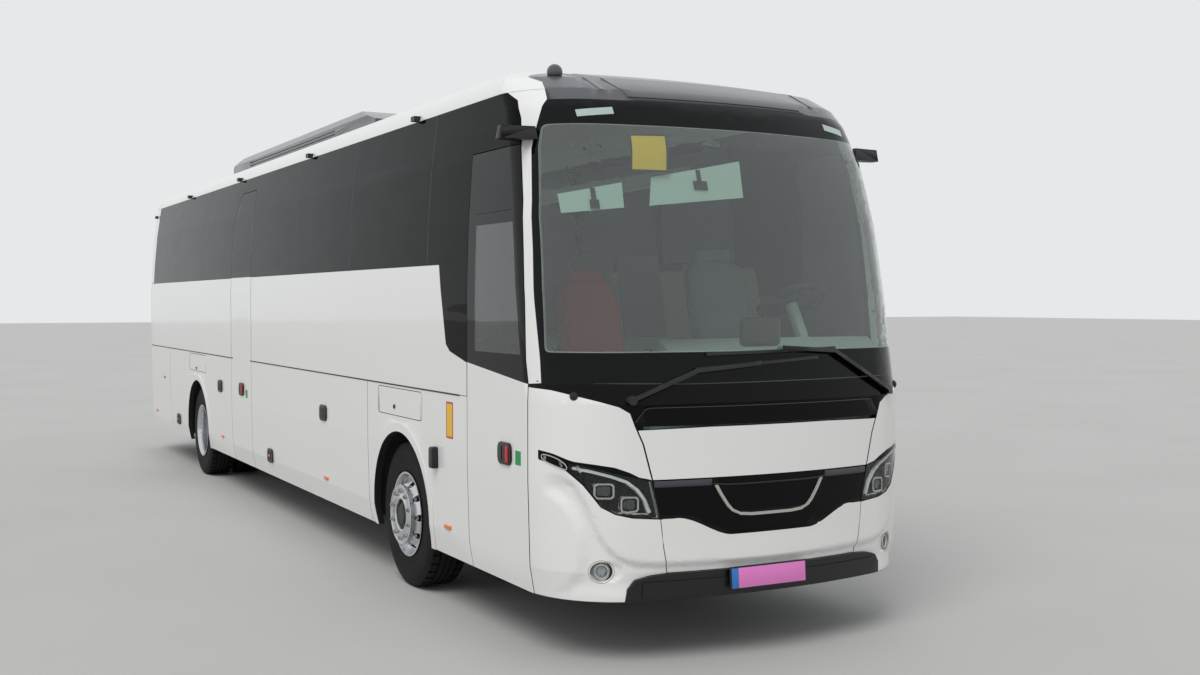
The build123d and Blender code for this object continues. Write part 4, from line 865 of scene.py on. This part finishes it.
# Step in the black panel, drawn from side to side (y, z), and the foot of the windscreen
flap_step = ((-0.845, 1.353), (-0.785, 1.431), (0.785, 1.431), (0.845, 1.353))
glass_foot = ((-1.25, 1.572), (-0.513, 1.558), (1.25, 1.565))
work = bmesh.new()
run = spread(flap_step[0], flap_step[1], 3) + spread(flap_step[1], flap_step[2], 16)[1:]
run += spread(flap_step[2], flap_step[3], 3)[1:]
bar(work, [on_nose(y, z, -0.001) for y, z in run], 0.0025)
run = spread(glass_foot[0], glass_foot[1], 8) + spread(glass_foot[1], glass_foot[2], 18)[1:]
bar(work, [on_nose(y, z, -0.001) for y, z in run], 0.004)
placed("front_panel_steps", work, "coach_body", grey_satin, smooth=60)

# Ledge over the bare place in the middle of the grille, turned down at its ends
ledge_half, ledge_z, ledge_drop = 0.395, 1.0, 0.012
work = bmesh.new()
run = spread((-ledge_half, ledge_z), (ledge_half, ledge_z), 12)
bar(work, [on_nose(y, z - ledge_drop * (1 - (y / ledge_half) ** 8), 0.003) for y, z in run], 0.006)
placed("grille_middle_ledge", work, "coach_body", satin_black, smooth=60)


# Bumper lip.
# A separate air dam of satin black ABS under the bumper, with a lighter angled face that the road lights.
def face_ahead(work, faces):
    """Turn the faces of one sheet so that they all face the road ahead."""
    faces = list(faces)
    bmesh.ops.recalc_face_normals(work, faces=faces)
    if faces[0].normal.x < 0:
        bmesh.ops.reverse_faces(work, faces=faces)


def sheet(name, corners, lift, thickness, *materials, border=0.0, across=10, rows=4):
    """A thin sheet between four corners (top kerb, top road, foot road, foot kerb) that follows the nose."""
    work = bmesh.new()
    verts = bmesh.ops.create_grid(work, x_segments=across, y_segments=rows, size=0.5)["verts"]
    top_a, top_b, low_b, low_a = (Vector(corner) for corner in corners)
    for vert in verts:
        share, rise = vert.co.x + 0.5, vert.co.y + 0.5
        spot = low_a.lerp(low_b, share).lerp(top_a.lerp(top_b, share), rise)
        vert.co = on_nose(spot.x, spot.y, lift)
    face_ahead(work, work.faces)
    if border:
        for face in rim_of(work, list(work.faces), border):
            face.material_index = 1
    bmesh.ops.solidify(work, geom=list(work.faces), thickness=thickness)
    placed(name, work, "coach_body", *materials, smooth=40)


def upright(y0, y1, z0, z1):
    """The corners of an upright oblong, in the order that a sheet takes them."""
    return ((y0, z1), (y1, z1), (y1, z0), (y0, z0))


dressed("bumper_lip", satin_black)
sheet("bumper_lip_face", upright(-0.80, 0.80, 0.3825, 0.4675), 0.006, 0.009, satin_black, across=26, rows=1)

# Bare registration plate in a black holder, with the blue band at its kerb end
plate_film = worked_surface("pink_plate_film", ("#e07ac0", "#e483c6"), 0.1, 0.01, 0.00002, 0.35)
plate_blue = worked_surface("blue_plate_film", ("#2a6fb8", "#3177c0"), 0.1, 0.01, 0.00002, 0.35)
plate_y, plate_z, plate_size, band_width = -0.033, 0.459, (0.508, 0.112), 0.045
plate_x = on_nose(plate_y, 0.44).x + 0.020
plate_lean = Matrix.Rotation(math.radians(-4), 4, "Y")
for name, stand_off, size in (
    ("plate_holder", 0.0, (0.528, 0.130)),
    ("registration_plate", 0.006, plate_size),
):
    work = bmesh.new()
    block(work, (plate_x + stand_off, plate_y, plate_z), (0.008, *size), plate_lean)
    films = (satin_black,)
    if name == "registration_plate":
        films = (plate_film, plate_blue)
        band_y = plate_y - size[0] / 2 + band_width
        sliced(work, list(work.faces), (0, band_y, 0), (0, 1, 0))
        for face in work.faces:
            face.material_index = 1 if face.calc_center_median().y < band_y else 0
    edges = [line for line in work.edges if line.is_manifold and line.calc_face_angle(0) > 1]
    rounded(work, edges, 0.0015, 2)
    placed(name, work, "coach_body", *films, smooth=30)


# Headlamps.
# A clear polycarbonate lens over a black bowl with two projectors in bright bezels, a light guide over
# them, and a ribbed indicator behind a bright frame in the tail of the lamp.
polycarbonate, tree = blank_material("clear_polycarbonate")
look = {"Base Color": srgb("#f4f6f6"), "Roughness": 0.0, "IOR": 1.3, "Transmission Weight": 1.0}
shader = add_node(tree, "BsdfPrincipled", look)
shadow = add_node(tree, "LightPath").outputs["Is Shadow Ray"]
open_air = add_node(tree, "BsdfTransparent", {"Color": srgb("#f4f6f6")})
surface(tree, add_node(tree, "MixShader", {0: shadow, 1: shader.outputs[0], 2: open_air.outputs[0]}))
lamp_bowl = worked_surface("dark_metallised_bowl", ("#08090a", "#101112"), 0.2, 0.01, 0.0002, 0.3, ior=1.3)
lamp_white = worked_surface("milky_light_guide", ("#dfe3e5", "#e9ecee"), 0.1, 0.004, 0.0001, 0.3)
dark_optic = worked_surface(
    "smoked_projector_lens", ("#2a2e30", "#43494c"), 0.02, 0.01, 0.0001, 0.04, coat=1.0
)
# Outlines of the lamp and of what is in it, as distance out and height
lamp_top = ((0.702, 0.815), (0.751, 1.033), (0.900, 1.065), (1.120, 1.125), (1.215, 1.140))
lamp_foot = ((0.702, 0.815), (0.860, 0.828), (0.950, 0.850), (1.020, 0.890), (1.100, 1.010), (1.215, 1.140))
guide_line = (
    *((1.138, 1.100), (1.057, 1.083), (0.967, 1.057), (0.886, 1.026), (0.826, 0.979)),
    *((0.785, 0.924), (0.757, 0.852)),
)
guide_half, bowl_end_y = 0.0095, 1.09
projectors, projector_half = ((0.999, 0.976), (0.869, 0.901)), (0.033, 0.027)
level_z, low_sample_z, high_samples = 1.0, 0.79, (1.175, 1.195)
rim_depth, bowl_floor_depth = 0.006, 0.028


def lamp_face(y, z, depth=0.0):
    """A point on the lamp's outer face, found from the panels over and under it, sunk by a depth."""
    ray = Vector((-1, 0, 0))
    hits = [nose_skins.ray_cast(Vector((before_x, y, high)), ray)[0] for high in high_samples]
    along = max(hit.x for hit in hits if hit)
    if z < level_z:
        below = on_nose(y, low_sample_z).x
        along += (below - along) * (level_z - z) / (level_z - low_sample_z)
    return Vector((along - depth, y, z))


def in_projector(place):
    """Whether a point of the bowl lies in one of the square lenses."""
    return any(
        abs(abs(place.y) - y) < projector_half[0] and abs(place.z - z) < projector_half[1]
        for y, z in projectors
    )


work = welded("headlamps")
for face in work.faces:
    spot = face.calc_center_median()
    depth = lamp_face(spot.y, spot.z).x - spot.x
    if not rim_depth < depth < bowl_floor_depth:
        continue
    if in_projector(spot):
        face.material_index = 3
    elif abs(past_run(abs(spot.y), spot.z, guide_line)) < guide_half:
        face.material_index = 2
    elif abs(spot.y) < bowl_end_y:
        face.material_index = 1
dressed("headlamps", lamp_bowl, chrome, lamp_white, dark_optic, work=work)


def edge_height(run, y):
    """The height of an outline at a distance out."""
    for (y0, z0), (y1, z1) in zip(run, run[1:]):
        if y <= y1:
            return z0 + (z1 - z0) * (y - y0) / (y1 - y0)
    return run[-1][1]


def lamp_sheet(work, side, span, foot, top, depth, columns, rows):
    """A sheet over a lamp between two outlines, each with its shift in height, sunk by a depth."""
    made = bmesh.ops.create_grid(work, x_segments=columns, y_segments=rows, size=0.5)["verts"]
    for vert in made:
        y = span[0] + (span[1] - span[0]) * (vert.co.x + 0.5)
        low_z, top_z = (edge_height(run, y) + shift for run, shift in (foot, top))
        vert.co = lamp_face(side * y, low_z + (top_z - low_z) * (vert.co.y + 0.5), depth)
    face_ahead(work, {face for vert in made for face in vert.link_faces})


# Clear lens over each lamp, a smoked border over its top and tail, and the indicator's bright loop and ribs
border_top = (
    *((0.745, 1.031), (0.822, 1.050), (0.877, 1.079), (0.955, 1.108), (1.049, 1.124)),
    *((1.138, 1.137), (1.161, 1.146), (1.213, 1.175), (1.256, 1.190)),
)
tail_foot = ((1.150, 1.076), (1.161, 1.084), (1.213, 1.113), (1.252, 1.135), (1.257, 1.150))
indicator_loop = (
    *((1.246, 1.168), (1.228, 1.165), (1.197, 1.149), (1.172, 1.124), (1.163, 1.100)),
    *((1.168, 1.088), (1.197, 1.103), (1.228, 1.122), (1.246, 1.140)),
)
rib_tops, rib_feet = (
    spread((1.240, 1.160), (1.240, 1.142), 4),
    spread((1.184, 1.136), (1.178, 1.104), 4),
)
ribs, lens, border = bmesh.new(), bmesh.new(), bmesh.new()
for side in (-1, 1):
    lamp_sheet(lens, side, (0.7045, 1.212), (lamp_foot, 0.002), (lamp_top, -0.002), 0.001, 48, 8)
    for span, foot in (((0.748, 1.166), (lamp_top, -0.005)), ((1.160, 1.254), (tail_foot, 0.0))):
        lamp_sheet(border, side, span, foot, (border_top, 0.0), -0.0015, 40, 3)
    bar(ribs, [lamp_face(side * y, z, -0.004) for y, z in indicator_loop], 0.0036, closed=True)
    for outer, inner in zip(rib_tops, rib_feet):
        bar(ribs, [lamp_face(side * y, z, -0.003) for y, z in (outer, inner)], 0.0014, smooth=False)
for name, work, material in (
    ("headlamp_lenses", lens, polycarbonate),
    ("headlamp_borders", border, gloss_black),
):
    bmesh.ops.solidify(work, geom=list(work.faces), thickness=0.003)
    placed(name, work, "coach_body", material, smooth=30)
placed("headlamp_indicators", ribs, "coach_body", chrome, smooth=60)

# Fog lamps: a bright bowl and rim round a clear disc
fog_y, fog_z, fog_lens, bezel_radius = 1.015, 0.528, 0.041, 0.0385
fog_sample_z = 0.62
fog_glass = worked_surface(
    "fluted_fog_lamp_glass", ("#7b8388", "#b6bdc0"), 0.012, 0.006, 0.0012, 0.08, coat=1.0
)
work = welded("fog_lamps")
for face in work.faces:
    spot = face.calc_center_median()
    if math.hypot(abs(spot.y) - fog_y, spot.z - fog_z) < fog_lens:
        face.material_index = 1
for vert in work.verts:
    vert.co -= nose_facing(vert.co.y) * valley(vert.co.y, vert.co.z)
dressed("fog_lamps", white_lacquer, fog_glass, work=work)
ring = bmesh.new()
for side in (-1, 1):
    facing = nose_facing(side * fog_y)
    face_x = on_nose(side * fog_y, fog_sample_z).x
    middle = Vector((face_x - 0.008, side * fog_y, fog_z)) - facing * valley(fog_y, fog_z)
    stand = Matrix.Translation(middle) @ facing.to_track_quat("Z", "Y").to_matrix().to_4x4()
    turns = [math.tau * step / 24 for step in range(24)]
    run = [stand @ (Vector((math.cos(turn), math.sin(turn), 0)) * bezel_radius) for turn in turns]
    bar(ring, run, 0.006, closed=True)
placed("fog_lamp_bezels", ring, "coach_body", chrome, smooth=60)

# Wipers and camera pods.
# Pressed steel arms and moulded pods, both in satin black powder coat. The two cameras behind the front
# arches have rounded covers.
for node in ("wipers", "mirror_cameras"):
    dressed(node, satin_black, smooth=40)
work = bmesh.new()
for side in (-1, 1):
    rounded_block(work, (4.456, side * 1.294, 0.990), (0.078, 0.044, 0.142), 0.020, 0.010)
placed("arch_camera_covers", work, "coach_body", satin_black, smooth=30)

# Roof cap, hatches and air-conditioning unit.
# Glass-fibre mouldings in dark grey metallic paint, softly glossy, its tone wandering slightly over patches.
grey_lacquer = worked_surface(
    "dark_grey_metallic_lacquer", ("#45474b", "#505256"), 0.8, 0.4, 0.0004, 0.28, coat=0.4
)
for node in ("roof_cap", "roof_hatches", "ac_unit"):
    dressed(node, grey_lacquer, smooth=40)

# Tail lamps.
# Red, orange and clear acrylic lenses over ribbed reflectors in the corners of the rear wall.
red_acrylic = worked_surface(
    "red_moulded_acrylic", ("#7d0f10", "#8f1414"), 0.1, 0.004, 0.0004, 0.12, coat=0.5
)
orange_acrylic = worked_surface(
    "orange_moulded_acrylic", ("#c85a14", "#d8691c"), 0.05, 0.003, 0.0004, 0.15, coat=0.5
)
clear_acrylic = worked_surface(
    "clear_fluted_acrylic", ("#c3c8ca", "#d6dadb"), 0.02, 0.006, 0.001, 0.1, coat=0.8
)
drum_y, drum_reach, drum_x = 1.06, 0.0605, tail_face_x + 0.02
work = welded("tail_lamps")
for face in work.faces:
    spot = face.calc_center_median()
    for index, drum_z in enumerate((1.245, 1.025, 0.805)):
        if math.hypot(abs(spot.y) - drum_y, spot.z - drum_z) < drum_reach and spot.x < drum_x:
            face.material_index = index + 1
dressed("tail_lamps", satin_black, red_acrylic, orange_acrylic, clear_acrylic, work=work)

# Wheels: tyres.
# Radial tyres of carbon-black rubber: a grooved tread, a shoulder, and a sidewall with a moulded
# protector ring over the bead. The rubber is matt and greys with road dust.
rear_axle_x, front_axle_x, axle_height = -3.19, 3.75, 0.512
tyre_rubber = worked_surface(
    "carbon_black_tyre_rubber", ("#101011", "#1b1a19"), 0.12, 0.004, 0.0006, 0.75, ior=1.35
)
# Half section from the bead to the shoulder: distance from the tyre's middle, radius
tyre_half = (
    *((0.1265, 0.2866), (0.1345, 0.2996), (0.1405, 0.3180), (0.1445, 0.3300), (0.1425, 0.3370)),
    *((0.1468, 0.3720), (0.1475, 0.4000), (0.1462, 0.4320), (0.1420, 0.4620), (0.1395, 0.4700)),
    *((0.1375, 0.4725), (0.1340, 0.4905), (0.1300, 0.4985), (0.1215, 0.5075), (0.1120, 0.5105)),
)
groove_middles, groove_half, groove_depth = (0.066, 0.021), 0.005, 0.014
tread_radius, tread_edge, tyre_steps = 0.512, 0.1215, 120
# Cross cuts in the outer ribs: one step in every three, how deep, and the radius beyond which a rib lies
cut_pitch, cut_depth, rib_face = 3, 0.008, 0.508


def tread_line():
    """Half section of a tyre from the bead to the middle of the tread."""
    line = list(tyre_half)
    for middle in groove_middles:
        outer, inner, foot = middle + groove_half, middle - groove_half, tread_radius - groove_depth
        line += [(outer, tread_radius), (outer, foot), (inner, foot), (inner, tread_radius)]
    return line


def turned(work, section, axle_x, middle_y, steps):
    """A ring turned about an axle, from its section: distance out from the middle, radius."""
    points = [work.verts.new((axle_x + radius, middle_y + out, axle_height)) for out, radius in section]
    edges = [work.edges.new(pair) for pair in zip(points, points[1:] + points[:1])]
    before = set(work.faces)
    bmesh.ops.spin(
        work,
        geom=points + edges,
        cent=(axle_x, middle_y, axle_height),
        axis=(0, 1, 0),
        angle=math.tau,
        steps=steps,
        use_merge=True,
        use_duplicate=False,
    )
    made = [face for face in work.faces if face not in before]
    bmesh.ops.recalc_face_normals(work, faces=made)
    return made


def tyre(work, axle_x, plane_y):
    """One tyre turned about its axle, with cross cuts in the outer ribs."""
    half = tread_line()
    cuts = []
    section = half + [(-out, radius) for out, radius in reversed(half)]
    for face in turned(work, section, axle_x, plane_y, tyre_steps):
        middle = face.calc_center_median()
        reach = math.hypot(middle.x - axle_x, middle.z - axle_height)
        turn = math.atan2(middle.z - axle_height, middle.x - axle_x) / math.tau * tyre_steps
        outer_rib = groove_middles[0] + groove_half < abs(middle.y - plane_y) < tread_edge
        if outer_rib and reach > rib_face and int(turn + tyre_steps) % cut_pitch == 0:
            cuts.append(face)
    for face in bmesh.ops.extrude_discrete_faces(work, faces=cuts)["faces"]:
        middle = face.calc_center_median()
        inward = Vector((axle_x - middle.x, 0, axle_height - middle.z)).normalized()
        bmesh.ops.translate(work, verts=face.verts, vec=inward * cut_depth)


# Tyre node, its body, its axle, and centre planes of its tyres
outer_plane, inner_plane = 1.0775, 0.7425
for node, body, axle_x, planes in (
    ("front_tyre_right", "front_wheel_right", front_axle_x, (-outer_plane,)),
    ("front_tyre_left", "front_wheel_left", front_axle_x, (outer_plane,)),
    ("rear_tyres_right", "rear_wheels_right", rear_axle_x, (-outer_plane, -inner_plane)),
    ("rear_tyres_left", "rear_wheels_left", rear_axle_x, (outer_plane, inner_plane)),
):
    work = bmesh.new()
    for plane_y in planes:
        tyre(work, axle_x, plane_y)
    made = placed(node + "_tread", work, body, tyre_rubber, smooth=35)
    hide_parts(node)

# Wheels: rims, nuts and hubs.
# Forged aluminium discs, machine polished, with ten round hand holes, ten plated nuts on the bolt ring,
# and a hub flange held by its own ring of studs round a dark cap.
polished_aluminium = worked_surface(
    "polished_forged_aluminium", ("#cfd1d3", "#dcdddf"), 0.2, 0.02, 0.0001, 0.2, metallic=1.0
)
plated_steel = worked_surface(
    "zinc_plated_steel", ("#b4b6b8", "#c6c8ca"), 0.02, 0.002, 0.0001, 0.25, metallic=1.0
)
hub_black = worked_surface("black_hub_enamel", ("#111213", "#1e1d1c"), 0.05, 0.003, 0.0002, 0.4)
for node in ("front_rim_right", "front_rim_left", "rear_rims_right", "rear_rims_left"):
    dressed(node, polished_aluminium, smooth=30)
# Pressed ring over the front wheels' nuts: distance from the middle of the coach, radius
trim_ring = (
    *((1.226, 0.200), (1.236, 0.2045), (1.252, 0.2075), (1.262, 0.2125), (1.269, 0.2125)),
    *((1.2725, 0.209), (1.2725, 0.203), (1.268, 0.199), (1.268, 0.130), (1.2715, 0.124)),
    *((1.2715, 0.114), (1.266, 0.107), (1.240, 0.101), (1.226, 0.101)),
)
for body, side in (("front_wheel_right", -1), ("front_wheel_left", 1)):
    work = bmesh.new()
    turned(work, [(side * out, radius) for out, radius in trim_ring], front_axle_x, 0, 96)
    placed(body + "_trim_ring", work, body, polished_aluminium, smooth=35)

bolt_circle, bolt_count = 0.1675, 10
# Washer, nut and stud: radius, how far each stands out, and its sides
bolt_parts = ((0.0185, 0.010, 24), (0.0155, 0.018, 6), (0.0100, 0.024, 12))
# Axle, where its nuts stand, and its cap's face, depth and two radii
front_hub = (front_axle_x, 1.266, 1.268, 0.034, 0.099, 0.064)
rear_hub = (rear_axle_x, 0.922, 0.999, 0.010, 0.060, 0.052)
for body, name, side, hub in (
    ("front_wheel_right", "front_hub_right", -1, front_hub),
    ("front_wheel_left", "front_hub_left", 1, front_hub),
    ("rear_wheels_right", "rear_hub_right", -1, rear_hub),
    ("rear_wheels_left", "rear_hub_left", 1, rear_hub),
):
    axle_x, ring_y, cap_y, cap_depth, cap_foot, cap_head = hub
    nuts, cap = bmesh.new(), bmesh.new()
    for index in range(bolt_count):
        turn = math.tau * (index + 0.5) / bolt_count
        x, z = axle_x + bolt_circle * math.cos(turn), axle_height + bolt_circle * math.sin(turn)
        for size, tall, sides in bolt_parts:
            plug(nuts, (x, side * (ring_y + tall / 2), z), side, size, size * 0.9, tall, sides)
    plug(cap, (axle_x, side * (cap_y - cap_depth / 2), axle_height), side, cap_foot, cap_head, cap_depth, 48)
    placed(name + "_nuts", nuts, body, plated_steel, smooth=30)
    placed(name + "_cap", cap, body, hub_black, smooth=30)


# Saloon and cab seats.
# Foam cushions under woven moquette on steel pedestals: the passengers' in anthracite, the guide's in red.
def cushion(work, middle, size, lean=0.0):
    """A stuffed block, leant back about the axle of the coach, with pillowed faces."""
    before = set(work.verts)
    edges = edges_at(block(work, middle, size, Matrix.Rotation(lean, 4, "Y")))
    bmesh.ops.subdivide_edges(work, edges=edges, cuts=3, use_grid_fill=True)
    verts = [vert for vert in work.verts if vert not in before]
    for again in range(2):
        bmesh.ops.smooth_vert(
            work, verts=verts, factor=0.5, use_axis_x=True, use_axis_y=True, use_axis_z=True
        )


back_lean = -0.23


def seat(soft, hard, x, y, z, width):
    """One seat: cushion, back and headrest, over a pedestal and in front of a hard shell."""
    cushion(soft, (x + 0.03, y, z + 0.385), (0.50, width, 0.15), 0.03)
    cushion(soft, (x - 0.262, y, z + 0.745), (0.13, width, 0.66), back_lean)
    cushion(soft, (x - 0.352, y, z + 1.035), (0.10, width * 0.62, 0.20), back_lean)
    for back, up, size, lean in (
        (0.06, 0.14, (0.10, width * 0.5, 0.28), 0.0),
        (0.318, 0.70, (0.02, width * 0.92, 0.68), back_lean),
    ):
        corners = block(hard, (x - back, y, z + up), size, Matrix.Rotation(lean, 4, "Y"))
        rounded(hard, edges_at(corners), 0.008, 2)


# Woven pile fabric, its fine checks a little coarser than the real weave so that they show
check_size, pile_size = 0.02, 0.006
anthracite_moquette = worked_surface(
    "anthracite_woven_moquette", ("#686c71", "#767a80"), check_size, pile_size, 0.0002, 0.9
)
red_moquette = worked_surface(
    "red_woven_moquette", ("#b23338", "#bf3c40"), check_size, pile_size, 0.0002, 0.9
)
grey_shell = worked_surface("dark_grey_moulded_abs", ("#575b5f", "#64686b"), 0.2, 0.002, 0.0001, 0.5)
saloon_floor_z, seat_width, cab_seat_width = 1.36, 0.425, 0.48
# Node, side, and where each row stands
seat_rows = (
    ("seats_right", -1, (3.65, 2.85, 2.05, 1.25, 0.45, -2.1, -2.9, -3.7, -4.5, -5.3)),
    ("seats_left", 1, (3.65, 2.85, 2.05, 1.25, 0.45, -0.35, -1.15, -1.95, -2.75, -3.55, -4.35, -5.15)),
)
for node, side, rows in seat_rows:
    soft, hard = bmesh.new(), bmesh.new()
    for x in rows:
        for y in (0.505, 0.935):
            seat(soft, hard, x, side * y, saloon_floor_z, seat_width)
    cushions = placed(node + "_cushions", soft, "coach_body", anthracite_moquette, smooth=60)
    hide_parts(node)
    placed(node + "_shells", hard, "coach_body", grey_shell, smooth=40)
guide_soft, driver_soft, hard = bmesh.new(), bmesh.new(), bmesh.new()
seat(guide_soft, hard, 4.80, -0.17, 1.10, cab_seat_width)
seat(driver_soft, hard, 5.06, 0.72, 1.25, cab_seat_width)
guide = placed("guide_seat_cushions", guide_soft, "coach_body", red_moquette, smooth=60)
driver = placed("driver_seat_cushions", driver_soft, "coach_body", anthracite_moquette, smooth=60)
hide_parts("cab_seats")
placed("cab_seat_shells", hard, "coach_body", grey_shell, smooth=40)

# Racks, ceiling, dashboard and steering wheel.
# Moulded ABS in mid grey: the racks and ceiling pale, the dashboard grained and darker, the wheel foamed.
pale_trim = worked_surface("pale_grey_moulded_abs", ("#cdd2cf", "#d6dad7"), 0.3, 0.002, 0.0001, 0.5)
dash_skin = worked_surface("grained_dashboard_skin", ("#8f9795", "#9ba2a0"), 0.2, 0.003, 0.0003, 0.55)
wheel_foam = worked_surface("foamed_wheel_rim", ("#17181a", "#202124"), 0.1, 0.003, 0.0003, 0.5)
finish(("racks_and_ceiling",), pale_trim)

# Things at the windscreen.
# Behind it hang two roller blinds of pale cloth with black straps and a bare yellow sign, and a black
# sensor pod sits low behind the glass. Two clear marker lamps sit on the brow over it.
blind_cloth = worked_surface("pale_blind_cloth", ("#bcc6c0", "#c5cfc9"), 0.1, 0.002, 0.0001, 0.7)
sign_yellow = worked_surface("yellow_sign_film", ("#f0b81e", "#f4c02a"), 0.1, 0.01, 0.00002, 0.5)
clear_marker = worked_surface(
    "clear_ribbed_marker_lens", ("#9db0a9", "#b3c4bd"), 0.02, 0.006, 0.0006, 0.15, coat=0.6
)
kerb_blind = ((-1.128, 2.637), (-0.772, 2.707), (-0.781, 2.561), (-1.125, 2.526))
road_blind = ((-0.591, 2.741), (0.013, 2.860), (-0.003, 2.640), (-0.628, 2.575))
sheet("roller_blind_kerb", kerb_blind, -0.045, 0.003, blind_cloth)
sheet("roller_blind_road", road_blind, -0.045, 0.003, blind_cloth)
strap_half, latch_half_height = 0.014, 0.025
# Blind, and its strap's middle, top, foot and latch width
for name, y, strap_z, latch_z, latch_width in (
    ("kerb", -0.950, 2.670, 2.575, 0.052),
    ("road", -0.288, 2.795, 2.700, 0.088),
):
    strap = upright(y - strap_half, y + strap_half, latch_z, strap_z)
    sheet("blind_strap_" + name, strap, -0.041, 0.002, satin_black, across=1)
    half = latch_width / 2
    latch = upright(y - half, y + half, latch_z - latch_half_height, latch_z + latch_half_height)
    sheet("blind_latch_" + name, latch, -0.034, 0.008, satin_black, across=2)
sign_corners = ((-0.686, 2.985), (-0.455, 2.991), (-0.494, 2.762), (-0.722, 2.762))
sheet("windscreen_sign", sign_corners, -0.014, 0.003, sign_yellow, satin_black, border=0.012)
# Marker lamp, and its upper edge from the kerb to the road side
marker_drop = 0.042
for name, start, end in (
    ("brow_marker_right", (-0.955, 3.118), (-0.745, 3.140)),
    ("brow_marker_left", (0.770, 3.135), (0.940, 3.110)),
):
    corners = (start, end, (end[0], end[1] - marker_drop), (start[0], start[1] - marker_drop))
    sheet(name, corners, 0.004, 0.010, clear_marker)
work = bmesh.new()
block(work, on_nose(0.02, 1.84) - Vector((0.075, 0, 0)), (0.07, 0.27, 0.17))
rounded(work, list(work.edges), 0.03, 4)
placed("screen_sensor_pod", work, "coach_body", satin_black, smooth=40)

# Dashboard and steering wheel, in the finishes named above
dressed("dashboard", dash_skin, smooth=30)
dressed("steering_wheel", wheel_foam, smooth=30)

low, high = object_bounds()
